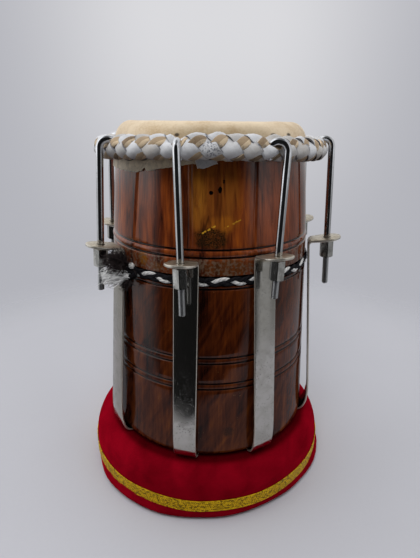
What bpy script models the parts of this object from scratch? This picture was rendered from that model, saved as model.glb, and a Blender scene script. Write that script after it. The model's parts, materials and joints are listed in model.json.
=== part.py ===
"""A bolt-tuned dayan, the right-hand drum of a tabla pair, on its ring cushion.

Metres, +Z up. The origin is on the floor under the axis of the drum, and the front is -Y.
Heights called "up" are measured from the underside of the wooden shell.
"""
import math

import bmesh
import bpy
from mathutils import Matrix

# Fit between pieces that touch, and how finely round pieces are cut.
GAP = 0.0003
TURNED_STEPS = 48
ROD_STEPS = 10

# Ring cushion and its gold band.
CUSHION_RADIUS = 0.1128
CUSHION_SEAT = 0.0463
CUSHION_SHOULDER = 0.0230
CUSHION_FOOT = 0.0060
CUSHION_HOLE_RADIUS = 0.0420
CUSHION_SEAT_OUTER = 0.0915
CUSHION_SEAT_INNER = 0.0620
BAND_WIDTH = 0.0130
BAND_THICKNESS = 0.0008

# Wooden shell.
SHELL_HEIGHT = 0.2595
SHELL_BASE_RADIUS = 0.0929
SHELL_WAIST_RADIUS = 0.0846
SHELL_RIM_RADIUS = 0.0770
SHELL_WALL = 0.0140
CAVITY_FLOOR_UP = 0.0780
CAVITY_ROUNDING = 0.0220
RIM_ROUNDING = 0.0120
BASE_ROUNDING = 0.0050
LINE_WIDTH = 0.0022
LINE_DEPTH = 0.0011
BEAD_ABOVE_CORD = 0.0203
BEAD_WIDTH = 0.0058
LINE_BELOW_CORD = 0.0062
LOWER_LINES_UP = (0.0907, 0.0858, 0.0682, 0.0631)

# Head: lining ring, main skin, rim skin and the black paste in the middle.
LINING_THICKNESS = 0.0008
LINING_INNER_RADIUS = 0.0580
MAIN_SKIN_THICKNESS = 0.0008
RIM_SKIN_THICKNESS = 0.0010
RIM_SKIN_INNER_RADIUS = 0.0520
RIM_SKIN_HEM_UP = 0.2310
PASTE_RADIUS = 0.0360
PASTE_HEIGHT = 0.0009

# Plaited leather rim.
PLAIT_MIDDLE_UP = 0.2473
PLAIT_WIDTH = 0.0153
PLAIT_HEIGHT = 0.0192
PLAIT_SIDES = 12

# Hooks: rods for an M6 rolled thread, bent over the plait.
ROD_RADIUS = 0.0027
ROD_TO_PLAIT = 0.0008
ROD_RAKE = 3.0
HOOK_BEND_RADIUS = 0.0062
HOOK_TIP_LENGTH = 0.0060
HOOK_BITE = 0.0030
HOOK_NOTCH_GAP = 0.0005

# Long hexagon nuts.
NUT_ACROSS_FLATS = 0.0100
NUT_LENGTH = 0.0142
NUT_BORE_GAP = 0.0004
NUT_SEAT_GAP = 0.0010

# Flat straps, each with a round lug for its rod and a foot under the shell.
LUG_ABOVE_CORD = 0.0190
STRAP_THICKNESS = 0.0020
STRAP_WIDTH = 0.0190
STRAP_STANDOFF = 0.0065
STRAP_STANDOFF_UP = 0.0200
STRAP_TOP_BEND = 0.0035
STRAP_TURN_UP = 0.0320
LUG_RADIUS = 0.0114
LUG_TILT = 10.0
LUG_HOLE_GAP = 0.0005
FOOT_REACH = 0.0300

# Screws through the feet.
SCREW_INSET = 0.0085
SCREW_HEAD_RADIUS = 0.0037
SCREW_SHANK_RADIUS = 0.0019
SCREW_LENGTH = 0.0180

# Braided cord, its knot and two tufts.
CORD_UP = 0.1535
CORD_HEIGHT = 0.0068
CORD_DEPTH = 0.0030
CORD_SEAT_DEPTH = 0.0015
KNOT_ANGLE = -41.0
KNOT_SIZE = (0.0046, 0.0064, 0.0052)
BLACK_TUFT_SIZE = (0.0062, 0.0076, 0.0070)
BLACK_TUFT_PLACE = (0.0032, -0.0088, 0.0088)
WHITE_TUFT_SIZE = (0.0048, 0.0068, 0.0048)
WHITE_TUFT_PLACE = (0.0036, -0.0115, -0.0030)

# Each tuner: its angle round the drum from the front towards +X, how its rod leans sideways, how far
# its hook is twisted on the rod, how much higher its lug sits, and the rod's length below its nut.
TUNERS = (
    (-11.0, -2.0, 8.0, 0.0, 0.0210),
    (28.0, 4.0, 44.0, 0.0028, 0.0140),
    (78.0, 0.5, -20.0, -0.0010, 0.0245),
    (116.0, 1.0, 6.0, 0.0010, 0.0190),
    (160.0, -2.0, -10.0, 0.0, 0.0205),
    (205.0, 1.5, 12.0, 0.0015, 0.0180),
    (249.0, 0.0, -6.0, -0.0025, 0.0215),
    (305.0, 3.0, -15.0, 0.0010, 0.0205),
)

# Heights and radii that follow from the sizes above.
SHELL_BASE = CUSHION_SEAT + GAP + STRAP_THICKNESS + GAP
SHELL_WAIST_UP = CORD_UP + BEAD_ABOVE_CORD
BEAD_LINES_UP = (SHELL_WAIST_UP + BEAD_WIDTH / 2, SHELL_WAIST_UP - BEAD_WIDTH / 2)
LINES_UP = BEAD_LINES_UP + (CORD_UP - LINE_BELOW_CORD,) + LOWER_LINES_UP
LINING_UP = SHELL_HEIGHT + GAP
MAIN_SKIN_UP = LINING_UP + LINING_THICKNESS + GAP
RIM_SKIN_UP = MAIN_SKIN_UP + MAIN_SKIN_THICKNESS + GAP
PASTE_UP = MAIN_SKIN_UP + MAIN_SKIN_THICKNESS + GAP
SHOULDER_RADIUS = SHELL_RIM_RADIUS - RIM_ROUNDING
SHOULDER_UP = SHELL_HEIGHT - RIM_ROUNDING
LUG_MIDDLE_UP = CORD_UP + LUG_ABOVE_CORD - STRAP_THICKNESS / 2


def shell_radius(up):
    """Outer radius of the plain shell: two straight tapers that meet at the waist bead."""
    if up < SHELL_WAIST_UP:
        share = up / SHELL_WAIST_UP
        return SHELL_BASE_RADIUS + (SHELL_WAIST_RADIUS - SHELL_BASE_RADIUS) * share
    share = (up - SHELL_WAIST_UP) / (SHELL_HEIGHT - SHELL_WAIST_UP)
    return SHELL_WAIST_RADIUS + (SHELL_RIM_RADIUS - SHELL_WAIST_RADIUS) * share


PLAIT_INNER = shell_radius(PLAIT_MIDDLE_UP) + GAP + RIM_SKIN_THICKNESS + GAP
PLAIT_OUTER = PLAIT_INNER + PLAIT_WIDTH
ROD_AT_PLAIT = PLAIT_OUTER + ROD_TO_PLAIT + ROD_RADIUS
HOOK_CREST = PLAIT_MIDDLE_UP + PLAIT_HEIGHT / 2 - HOOK_BITE - LUG_MIDDLE_UP
HOOK_CENTRE = HOOK_CREST - ROD_RADIUS - HOOK_BEND_RADIUS
NUT_TOP = -STRAP_THICKNESS / 2 - NUT_SEAT_GAP
CORD_INNER = shell_radius(CORD_UP) - CORD_SEAT_DEPTH + GAP
CORD_OUTER = CORD_INNER + CORD_DEPTH
SCREW_RADIUS = SHELL_BASE_RADIUS - FOOT_REACH + SCREW_INSET


def clear_scene():
    for item in list(bpy.data.objects):
        bpy.data.objects.remove(item, do_unlink=True)


def make_material(name, colour, roughness, metallic=0.0):
    mat = bpy.data.materials.new(name)
    mat.use_nodes = True
    shader = mat.node_tree.nodes["Principled BSDF"]
    shader.inputs["Base Color"].default_value = (*colour, 1.0)
    shader.inputs["Roughness"].default_value = roughness
    shader.inputs["Metallic"].default_value = metallic
    return mat


def add_object(name, data, mat=None, matrix=None):
    item = bpy.data.objects.new(name, data)
    bpy.context.collection.objects.link(item)
    if mat and not data.materials:
        data.materials.append(mat)
    if matrix:
        item.matrix_world = matrix
    return item


def mesh_from(bm, name):
    bmesh.ops.remove_doubles(bm, verts=bm.verts, dist=1e-6)
    bmesh.ops.recalc_face_normals(bm, faces=bm.faces)
    mesh = bpy.data.meshes.new(name)
    bm.to_mesh(mesh)
    bm.free()
    return mesh


def arc(centre, reach, start, end, steps):
    """Points on an ellipse arc in the radius and height plane, ends included, angles in degrees."""
    points = []
    for i in range(steps + 1):
        turn = math.radians(start + (end - start) * i / steps)
        points.append((centre[0] + reach[0] * math.cos(turn), centre[1] + reach[1] * math.sin(turn)))
    return points


def turned_mesh(name, profile, steps=TURNED_STEPS):
    """A solid of revolution; a profile that starts on the axis ends on it, any other is a ring."""
    bm = bmesh.new()
    verts = [bm.verts.new((radius, 0.0, height)) for radius, height in profile]
    edges = [bm.edges.new(pair) for pair in zip(verts, verts[1:])]
    if profile[0][0] > 0.0:
        edges.append(bm.edges.new((verts[-1], verts[0])))
    bmesh.ops.spin(
        bm,
        geom=verts + edges,
        cent=(0.0, 0.0, 0.0),
        axis=(0.0, 0.0, 1.0),
        angle=math.tau,
        steps=steps,
        use_merge=True,
    )
    return mesh_from(bm, name)


def prism_mesh(name, outline, half_width):
    """A flat outline in the radius and height plane, given a width across it."""
    bm = bmesh.new()
    near = [bm.verts.new((x, -half_width, z)) for x, z in outline]
    far = [bm.verts.new((x, half_width, z)) for x, z in outline]
    bm.faces.new(near)
    bm.faces.new(far)
    for i in range(len(outline)):
        j = (i + 1) % len(outline)
        bm.faces.new((near[i], near[j], far[j], far[i]))
    return mesh_from(bm, name)


def around(angle):
    """Turns a piece drawn along +X to its angle from the front."""
    return Matrix.Rotation(math.radians(angle - 90.0), 4, "Z")


def lug_hole(lift):
    """Radius and height of a lug's hole: the rods rake in towards the plait, so a higher hole is nearer."""
    up = LUG_MIDDLE_UP + lift
    return ROD_AT_PLAIT + (PLAIT_MIDDLE_UP - up) * math.tan(math.radians(ROD_RAKE)), up


def raked(lift):
    """Frame of an upright tuner at +X: origin in the lug's hole, +X outwards, +Z along the rod."""
    radius, up = lug_hole(lift)
    return Matrix.Translation((radius, 0.0, SHELL_BASE + up)) @ Matrix.Rotation(math.radians(-ROD_RAKE), 4, "Y")


def tuner_frame(angle, lean, lift):
    """Frame of one hook and nut, turned to its angle and leaning sideways."""
    return around(angle) @ raked(lift) @ Matrix.Rotation(math.radians(-lean), 4, "X")


def twisted(twist):
    """Turn of a hook on its rod."""
    return Matrix.Rotation(math.radians(twist), 4, "Z")


def cut(item, cutters):
    """Cuts a collection of hidden shapes out of an object."""
    group = bpy.data.collections.new(item.name + "_cutters")
    for cutter in cutters:
        cutter.hide_render = True
        cutter.display_type = "WIRE"
        group.objects.link(cutter)
    modifier = item.modifiers.new("cuts", "BOOLEAN")
    modifier.operation = "DIFFERENCE"
    modifier.solver = "EXACT"
    modifier.operand_type = "COLLECTION"
    modifier.collection = group


def fillet(before, corner, after, radius, steps):
    """Arc that rounds one corner of a line in the radius and height plane."""
    ax, az = before[0] - corner[0], before[1] - corner[1]
    bx, bz = after[0] - corner[0], after[1] - corner[1]
    a_len, b_len = math.hypot(ax, az), math.hypot(bx, bz)
    ax, az, bx, bz = ax / a_len, az / a_len, bx / b_len, bz / b_len
    half = math.acos(max(-1.0, min(1.0, ax * bx + az * bz))) / 2
    run = radius / math.tan(half)
    mid_len = math.hypot(ax + bx, az + bz)
    reach = radius / math.sin(half) / mid_len
    centre = (corner[0] + (ax + bx) * reach, corner[1] + (az + bz) * reach)
    start = math.atan2(corner[1] + az * run - centre[1], corner[0] + ax * run - centre[0])
    end = math.atan2(corner[1] + bz * run - centre[1], corner[0] + bx * run - centre[0])
    sweep = (end - start + math.pi) % math.tau - math.pi
    points = []
    for i in range(steps + 1):
        turn = start + sweep * i / steps
        points.append((centre[0] + radius * math.cos(turn), centre[1] + radius * math.sin(turn)))
    return points


def make_cushion(velvet, gold):
    """Padded ring with a domed shoulder, drawn in at the foot, and the gold band round its side."""
    outer = arc(
        (CUSHION_SEAT_OUTER, CUSHION_SHOULDER),
        (CUSHION_RADIUS - CUSHION_SEAT_OUTER, CUSHION_SEAT - CUSHION_SHOULDER),
        90.0,
        0.0,
        6,
    )
    foot = arc((CUSHION_RADIUS - CUSHION_FOOT, CUSHION_FOOT), (CUSHION_FOOT, CUSHION_FOOT), 0.0, -90.0, 3)
    hole_width = CUSHION_SEAT_INNER - CUSHION_HOLE_RADIUS
    hole = arc((CUSHION_SEAT_INNER, CUSHION_SEAT / 2), (hole_width, CUSHION_SEAT / 2), 270.0, 90.0, 8)
    add_object("ring_cushion", turned_mesh("ring_cushion", outer + foot + hole), velvet)
    inner = CUSHION_RADIUS + GAP
    top = CUSHION_SHOULDER - GAP
    band = [
        (inner, top),
        (inner + BAND_THICKNESS, top),
        (inner + BAND_THICKNESS, top - BAND_WIDTH),
        (inner, top - BAND_WIDTH),
    ]
    add_object("gold_band", turned_mesh("gold_band", band), gold)


def make_shell(wood):
    """Turned block, hollow from the top, with fine turned lines and the cord's seat."""
    profile = [(0.0, 0.0)]
    profile += arc((SHELL_BASE_RADIUS - BASE_ROUNDING, BASE_ROUNDING), (BASE_ROUNDING, BASE_ROUNDING), -90.0, 0.0, 3)
    cuts = [(up, LINE_WIDTH / 2, LINE_DEPTH, 0.0) for up in LINES_UP]
    cuts.append((CORD_UP, CORD_HEIGHT / 2 + 2 * GAP, CORD_SEAT_DEPTH, CORD_HEIGHT / 2 + GAP))
    for up, reach, depth, flat in sorted(cuts):
        profile.append((shell_radius(up - reach), up - reach))
        if flat > 0.0:
            profile.append((shell_radius(CORD_UP) - depth, up - flat))
            profile.append((shell_radius(CORD_UP) - depth, up + flat))
        else:
            profile.append((shell_radius(up) - depth, up))
        profile.append((shell_radius(up + reach), up + reach))
    profile += arc((SHOULDER_RADIUS, SHOULDER_UP), (RIM_ROUNDING, RIM_ROUNDING), 0.0, 90.0, 5)
    mouth = SHELL_RIM_RADIUS - SHELL_WALL
    floor = mouth - CAVITY_ROUNDING
    profile.append((mouth, SHELL_HEIGHT))
    profile += arc(
        (floor, CAVITY_FLOOR_UP + CAVITY_ROUNDING), (CAVITY_ROUNDING, CAVITY_ROUNDING), 0.0, -90.0, 4
    )
    profile.append((0.0, CAVITY_FLOOR_UP))
    lifted = [(radius, SHELL_BASE + up) for radius, up in profile]
    shell = add_object("shell", turned_mesh("shell", lifted), wood)
    depth = SCREW_LENGTH - STRAP_THICKNESS
    hole = [(0.0, -0.01), (SCREW_SHANK_RADIUS + GAP, -0.01), (SCREW_SHANK_RADIUS + GAP, depth), (0.0, depth)]
    hole_mesh = turned_mesh("screw_hole", hole, ROD_STEPS)
    cutters = []
    for angle, lean, twist, lift, spare in TUNERS:
        place = around(angle) @ Matrix.Translation((SCREW_RADIUS, 0.0, SHELL_BASE))
        cutters.append(add_object("screw_hole", hole_mesh, None, place))
    cut(shell, cutters)


def make_head(hide, cream, black):
    """Three skins laid on the rim and the hard black paste on the middle one."""
    lining_top = LINING_UP + LINING_THICKNESS
    lining = [
        (LINING_INNER_RADIUS, LINING_UP),
        (SHOULDER_RADIUS, LINING_UP),
        (SHOULDER_RADIUS, lining_top),
        (LINING_INNER_RADIUS, lining_top),
    ]
    main_top = MAIN_SKIN_UP + MAIN_SKIN_THICKNESS
    main = [(0.0, MAIN_SKIN_UP), (SHOULDER_RADIUS, MAIN_SKIN_UP), (SHOULDER_RADIUS, main_top), (0.0, main_top)]
    paste_top = PASTE_UP + PASTE_HEIGHT
    paste = [
        (0.0, PASTE_UP),
        (PASTE_RADIUS, PASTE_UP),
        (PASTE_RADIUS * 0.94, PASTE_UP + PASTE_HEIGHT * 0.55),
        (PASTE_RADIUS * 0.70, paste_top - PASTE_HEIGHT * 0.15),
        (PASTE_RADIUS * 0.30, paste_top),
        (0.0, paste_top),
    ]
    rise = RIM_SKIN_UP - SHOULDER_UP
    under = [(RIM_SKIN_INNER_RADIUS, RIM_SKIN_UP)]
    under += arc((SHOULDER_RADIUS, SHOULDER_UP), (RIM_ROUNDING + GAP, rise), 90.0, 0.0, 6)
    under.append((shell_radius(RIM_SKIN_HEM_UP) + GAP, RIM_SKIN_HEM_UP))
    thick = RIM_SKIN_THICKNESS
    over = [(shell_radius(RIM_SKIN_HEM_UP) + GAP + thick, RIM_SKIN_HEM_UP)]
    over += arc((SHOULDER_RADIUS, SHOULDER_UP), (RIM_ROUNDING + GAP + thick, rise + thick), 0.0, 90.0, 6)
    over.append((RIM_SKIN_INNER_RADIUS, RIM_SKIN_UP + thick))
    pieces = (
        ("lining_skin", lining, hide),
        ("main_skin", main, cream),
        ("black_paste", paste, black),
        ("rim_skin", under + over, hide),
    )
    for name, profile, mat in pieces:
        lifted = [(radius, SHELL_BASE + up) for radius, up in profile]
        add_object(name, turned_mesh(name, lifted), mat)


def make_plait(leather):
    """Leather ring round the head, notched where each hook bites into it and its tip goes down."""
    middle = ((PLAIT_INNER + PLAIT_OUTER) / 2, SHELL_BASE + PLAIT_MIDDLE_UP)
    section = arc(middle, (PLAIT_WIDTH / 2, PLAIT_HEIGHT / 2), 0.0, 360.0, PLAIT_SIDES)[:-1]
    plait = add_object("plaited_rim", turned_mesh("plaited_rim", section), leather)
    side = ROD_RADIUS + HOOK_NOTCH_GAP
    tip = -2 * HOOK_BEND_RADIUS
    core = HOOK_BEND_RADIUS - side
    notches = []
    for angle, lean, twist, lift, spare in TUNERS:
        centre = HOOK_CENTRE - lift
        low = centre - HOOK_TIP_LENGTH - HOOK_NOTCH_GAP
        high = centre + PLAIT_HEIGHT
        outline = [(tip - side, low), (tip + side, low)]
        outline += arc((-HOOK_BEND_RADIUS, centre), (core, core), 180.0, 0.0, 6)
        outline += [(side, centre), (side, high), (tip - side, high)]
        notch = prism_mesh("hook_notch", outline, side)
        notches.append(add_object("hook_notch", notch, None, tuner_frame(angle, lean, lift) @ twisted(twist)))
    cut(plait, notches)


def hook_curve(lift, spare):
    """Centre line of one hook: a straight rod, a half turn over the plait and a short tip."""
    centre = HOOK_CENTRE - lift
    bend = arc((-HOOK_BEND_RADIUS, centre), (HOOK_BEND_RADIUS, HOOK_BEND_RADIUS), 0.0, 180.0, 8)
    bottom = NUT_TOP - NUT_LENGTH - spare
    line = [(0.0, bottom)] + bend + [(-2 * HOOK_BEND_RADIUS, centre - HOOK_TIP_LENGTH)]
    curve = bpy.data.curves.new("hook", "CURVE")
    curve.dimensions = "3D"
    curve.bevel_depth = ROD_RADIUS
    curve.bevel_resolution = ROD_STEPS // 2 - 2
    curve.use_fill_caps = True
    spline = curve.splines.new("POLY")
    spline.points.add(len(line) - 1)
    for point, (x, z) in zip(spline.points, line):
        point.co = (x, 0.0, z, 1.0)
    return curve


def nut_mesh():
    """Long hexagon nut with a plain bore, standing on the rod's axis."""
    bm = bmesh.new()
    bore = (ROD_RADIUS + NUT_BORE_GAP) / math.cos(math.pi / 12)
    rings = []
    for height in (NUT_TOP, NUT_TOP - NUT_LENGTH):
        outer = []
        inner = []
        for i in range(12):
            turn = math.tau * i / 12
            reach = NUT_ACROSS_FLATS / 2
            if i % 2:
                reach = reach / math.cos(math.pi / 6)
            outer.append(bm.verts.new((reach * math.cos(turn), reach * math.sin(turn), height)))
            inner.append(bm.verts.new((bore * math.cos(turn), bore * math.sin(turn), height)))
        rings.append((outer, inner))
    (outer_top, inner_top), (outer_low, inner_low) = rings
    for i in range(12):
        j = (i + 1) % 12
        bm.faces.new((outer_top[i], outer_top[j], inner_top[j], inner_top[i]))
        bm.faces.new((outer_low[i], outer_low[j], inner_low[j], inner_low[i]))
        bm.faces.new((outer_top[i], outer_top[j], outer_low[j], outer_low[i]))
        bm.faces.new((inner_top[i], inner_top[j], inner_low[j], inner_low[i]))
    return mesh_from(bm, "nut")


def eased_corner(before, corner, after, run_in, run_out, steps):
    """Soft bend that leaves one line run_in before its corner and joins the next one run_out after it."""
    near = math.hypot(before[0] - corner[0], before[1] - corner[1])
    far = math.hypot(after[0] - corner[0], after[1] - corner[1])
    points = []
    for i in range(steps + 1):
        share = i / steps
        back = (1 - share) ** 2 * run_in / near
        on = share ** 2 * run_out / far
        x = corner[0] + (before[0] - corner[0]) * back + (after[0] - corner[0]) * on
        z = corner[1] + (before[1] - corner[1]) * back + (after[1] - corner[1]) * on
        points.append((x, z))
    return points


def strap_line(lift):
    """Middle line of a strap from its tilted lug to its foot, with the half width at each point."""
    hole = lug_hole(lift)
    tilt = math.radians(LUG_TILT)
    rise = math.tan(tilt)
    cord_side = CORD_OUTER + GAP + STRAP_THICKNESS / 2
    base_side = shell_radius(STRAP_STANDOFF_UP) + STRAP_STANDOFF + STRAP_THICKNESS / 2
    slope = (base_side - cord_side) / (CORD_UP - STRAP_STANDOFF_UP)
    foot_up = -GAP - STRAP_THICKNESS / 2
    top_radius = (cord_side + slope * (CORD_UP - hole[1] + hole[0] * rise)) / (1 + slope * rise)
    top = (top_radius, hole[1] + (top_radius - hole[0]) * rise)
    low = (cord_side + slope * (CORD_UP - foot_up), foot_up)
    end = (SHELL_BASE_RADIUS - FOOT_REACH, foot_up)
    half = STRAP_WIDTH / 2
    line = []
    for turn in (12.0, 35.0, 60.0, 90.0):
        side = math.radians(turn)
        reach = LUG_RADIUS * math.cos(side)
        line.append((hole[0] + reach * math.cos(tilt), hole[1] + reach * math.sin(tilt), LUG_RADIUS * math.sin(side)))
    turn_in = STRAP_STANDOFF + BASE_ROUNDING + STRAP_THICKNESS / 2
    for x, z in fillet(hole, top, low, STRAP_TOP_BEND, 3):
        line.append((x, z, half))
    for x, z in eased_corner(top, low, end, STRAP_TURN_UP, turn_in, 8):
        line.append((x, z, half))
    line.append((end[0], end[1], half))
    return line


def strap_mesh(lift):
    """Bent flat bar with the rod's hole in its lug and a countersunk hole in its foot."""
    line = strap_line(lift)
    bm = bmesh.new()
    rows = []
    for i, (x, z, half) in enumerate(line):
        before = line[max(i - 1, 0)]
        after = line[min(i + 1, len(line) - 1)]
        run = math.hypot(after[0] - before[0], after[1] - before[1])
        nx = -(after[1] - before[1]) / run * STRAP_THICKNESS / 2
        nz = (after[0] - before[0]) / run * STRAP_THICKNESS / 2
        rows.append([
            bm.verts.new((x + nx, -half, SHELL_BASE + z + nz)),
            bm.verts.new((x + nx, half, SHELL_BASE + z + nz)),
            bm.verts.new((x - nx, half, SHELL_BASE + z - nz)),
            bm.verts.new((x - nx, -half, SHELL_BASE + z - nz)),
        ])
    for first, second in zip(rows, rows[1:]):
        for i in range(4):
            j = (i + 1) % 4
            bm.faces.new((first[i], first[j], second[j], second[i]))
    bm.faces.new(rows[0])
    bm.faces.new(rows[-1])
    strap = add_object("strap_blank", mesh_from(bm, "strap_blank"))
    hole = ROD_RADIUS + LUG_HOLE_GAP
    rod_hole = turned_mesh("rod_hole", [(0.0, -0.01), (hole, -0.01), (hole, 0.01), (0.0, 0.01)], ROD_STEPS)
    shank = SCREW_SHANK_RADIUS + GAP
    head = SCREW_HEAD_RADIUS + GAP
    sink = [(0.0, -0.01), (head, -0.01), (head, 0.0), (shank, head - shank), (shank, 0.01), (0.0, 0.01)]
    screw_hole = turned_mesh("foot_hole", sink, ROD_STEPS)
    cutters = [
        add_object("rod_hole", rod_hole, None, raked(lift)),
        add_object("foot_hole", screw_hole, None, Matrix.Translation((SCREW_RADIUS, 0.0, CUSHION_SEAT + GAP))),
    ]
    cut(strap, cutters)
    bpy.context.view_layer.update()
    graph = bpy.context.evaluated_depsgraph_get()
    mesh = bpy.data.meshes.new_from_object(strap.evaluated_get(graph))
    for item in [strap] + cutters:
        bpy.data.objects.remove(item, do_unlink=True)
    return mesh


def screw_mesh():
    """Countersunk screw, head down and flush with the foot."""
    sink = SCREW_HEAD_RADIUS - SCREW_SHANK_RADIUS
    profile = [
        (0.0, 0.0),
        (SCREW_HEAD_RADIUS, 0.0),
        (SCREW_SHANK_RADIUS, sink),
        (SCREW_SHANK_RADIUS, SCREW_LENGTH - 0.004),
        (0.0, SCREW_LENGTH),
    ]
    return turned_mesh("screw", profile, ROD_STEPS)


def make_tuners(steel, zinc, plate, brass):
    """Straps, screws, hooks and nuts, one of each at every angle."""
    screw = screw_mesh()
    nut = nut_mesh()
    for number, (angle, lean, twist, lift, spare) in enumerate(TUNERS, start=1):
        frame = tuner_frame(angle, lean, lift)
        add_object(f"strap_{number}", strap_mesh(lift), plate, around(angle))
        seat = Matrix.Translation((SCREW_RADIUS, 0.0, CUSHION_SEAT + GAP))
        add_object(f"screw_{number}", screw, brass, around(angle) @ seat)
        add_object(f"hook_{number}", hook_curve(lift, spare), steel, frame @ twisted(twist))
        add_object(f"nut_{number}", nut, zinc, frame)


def lump_mesh(name, size, place):
    """Egg-shaped bundle of fibres, placed outwards, sideways and up from the cord's face."""
    bm = bmesh.new()
    bmesh.ops.create_uvsphere(bm, u_segments=10, v_segments=7, radius=1.0)
    middle = (CORD_OUTER + GAP + KNOT_SIZE[0] + place[0], place[1], SHELL_BASE + CORD_UP + place[2])
    bm.transform(Matrix.Translation(middle) @ Matrix.Diagonal((*size, 1.0)))
    return mesh_from(bm, name)


def make_cord(braid, black_yarn, white_yarn):
    """Braided belt in its seat behind the straps, with its knot and two frayed tufts."""
    middle = ((CORD_INNER + CORD_OUTER) / 2, SHELL_BASE + CORD_UP)
    section = arc(middle, (CORD_DEPTH / 2, CORD_HEIGHT / 2), 0.0, 360.0, 8)[:-1]
    add_object("waist_cord", turned_mesh("waist_cord", section), braid)
    turn = around(KNOT_ANGLE)
    add_object("cord_knot", lump_mesh("cord_knot", KNOT_SIZE, (0.0, 0.0, 0.0)), braid, turn)
    black = lump_mesh("black_tuft", BLACK_TUFT_SIZE, BLACK_TUFT_PLACE)
    add_object("black_tuft", black, black_yarn, turn)
    white = lump_mesh("white_tuft", WHITE_TUFT_SIZE, WHITE_TUFT_PLACE)
    add_object("white_tuft", white, white_yarn, turn)


def main():
    clear_scene()
    velvet = make_material("red_velvet", (0.30, 0.01, 0.02), 0.9)
    gold = make_material("gold_braid", (0.75, 0.50, 0.12), 0.5)
    wood = make_material("dark_wood", (0.16, 0.05, 0.02), 0.3)
    hide = make_material("rim_hide", (0.78, 0.62, 0.42), 0.6)
    cream = make_material("main_hide", (0.85, 0.74, 0.56), 0.6)
    black = make_material("black_paste", (0.02, 0.02, 0.02), 0.6)
    leather = make_material("plaited_leather", (0.66, 0.62, 0.56), 0.7)
    steel = make_material("rod_steel", (0.75, 0.75, 0.77), 0.15, 1.0)
    zinc = make_material("nut_zinc", (0.45, 0.44, 0.42), 0.5, 1.0)
    plate = make_material("strap_plate", (0.72, 0.71, 0.69), 0.3, 1.0)
    brass = make_material("screw_steel", (0.55, 0.55, 0.56), 0.4, 1.0)
    braid = make_material("braid_yarn", (0.25, 0.25, 0.26), 0.9)
    black_yarn = make_material("black_yarn", (0.02, 0.02, 0.02), 0.9)
    white_yarn = make_material("white_yarn", (0.70, 0.69, 0.67), 0.9)
    make_cushion(velvet, gold)
    make_shell(wood)
    make_head(hide, cream, black)
    make_plait(leather)
    make_tuners(steel, zinc, plate, brass)
    make_cord(braid, black_yarn, white_yarn)


main()
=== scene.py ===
# Looks for the bolt-tuned dayan on its ring cushion: metres, +Z up, the front is -Y
import json
import math
import random

import bmesh
import bpy
from mathutils import Matrix, Vector, noise


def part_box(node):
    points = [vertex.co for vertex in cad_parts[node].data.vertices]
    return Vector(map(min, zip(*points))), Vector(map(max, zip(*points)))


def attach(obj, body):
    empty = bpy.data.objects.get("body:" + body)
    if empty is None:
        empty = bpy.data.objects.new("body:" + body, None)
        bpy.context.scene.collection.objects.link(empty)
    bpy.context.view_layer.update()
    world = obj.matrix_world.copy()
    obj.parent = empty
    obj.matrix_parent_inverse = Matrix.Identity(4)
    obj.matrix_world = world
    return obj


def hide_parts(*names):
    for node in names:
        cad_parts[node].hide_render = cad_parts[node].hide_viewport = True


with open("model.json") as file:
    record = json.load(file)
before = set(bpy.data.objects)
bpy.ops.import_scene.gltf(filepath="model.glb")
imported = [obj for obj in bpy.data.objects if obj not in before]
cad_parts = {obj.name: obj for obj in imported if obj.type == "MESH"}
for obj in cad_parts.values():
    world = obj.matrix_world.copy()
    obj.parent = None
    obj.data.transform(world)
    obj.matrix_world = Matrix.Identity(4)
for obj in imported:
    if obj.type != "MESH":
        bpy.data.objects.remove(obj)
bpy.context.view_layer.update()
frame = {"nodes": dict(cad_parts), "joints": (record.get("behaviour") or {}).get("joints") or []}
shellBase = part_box("shell")[0].z   # heights called "up" count from here
print("frame loaded:", len(frame["nodes"]), "nodes")


# camera at the photograph's viewing angle
cameraSettings = {
    "location": (0.0006, -0.3713, 0.312),
    "pitchDown": 20.57,
    "roll": 0.57,
    "lens": 27.16,
    "sensor": 36.0,
}


def makeCamera(settings):
    data = bpy.data.cameras.new("photoCamera")
    data.lens = settings["lens"]
    data.sensor_width = settings["sensor"]
    data.clip_start = 0.01
    camera = bpy.data.objects.new("photoCamera", data)
    bpy.context.scene.collection.objects.link(camera)
    tilt = Matrix.Rotation(math.radians(90.0 - settings["pitchDown"]), 4, "X")
    turn = Matrix.Rotation(math.radians(settings["roll"]), 4, "Z")
    camera.matrix_world = Matrix.Translation(settings["location"]) @ tilt @ turn
    bpy.context.scene.camera = camera


makeCamera(cameraSettings)
bpy.context.scene.view_settings.view_transform = "Standard"
print("camera set")


# small helpers for meshes
def linkMesh(name, mesh):
    piece = bpy.data.objects.new(name, mesh)
    bpy.context.scene.collection.objects.link(piece)
    return piece


def meshFrom(name, verts, faces, sharpAngle=None):
    mesh = bpy.data.meshes.new(name)
    mesh.from_pydata(verts, [], faces)
    bm = bmesh.new()
    bm.from_mesh(mesh)
    bmesh.ops.recalc_face_normals(bm, faces=bm.faces)
    bm.to_mesh(mesh)
    bm.free()
    mesh.shade_smooth()
    if sharpAngle:
        mesh.set_sharp_from_angle(angle=math.radians(sharpAngle))
    return mesh


def addValues(mesh, name, values):
    layer = mesh.attributes.new(name, "FLOAT", "POINT")
    layer.data.foreach_set("value", values)


def onCircle(turn, radius, height):
    # turn counts from the front towards +X
    return (radius * math.sin(turn), -radius * math.cos(turn), height)


def smoothStep(value, low, high):
    share = max(0.0, min(1.0, (value - low) / (high - low)))
    return share * share * (3.0 - 2.0 * share)


def signedTurn(degrees):
    return (degrees + 180.0) % 360.0 - 180.0


def arcPoints(centre, reach, start, end, steps):
    points = []
    for i in range(steps + 1):
        turn = math.radians(start + (end - start) * i / steps)
        points.append((centre[0] + reach[0] * math.cos(turn), centre[1] + reach[1] * math.sin(turn)))
    return points


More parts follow.
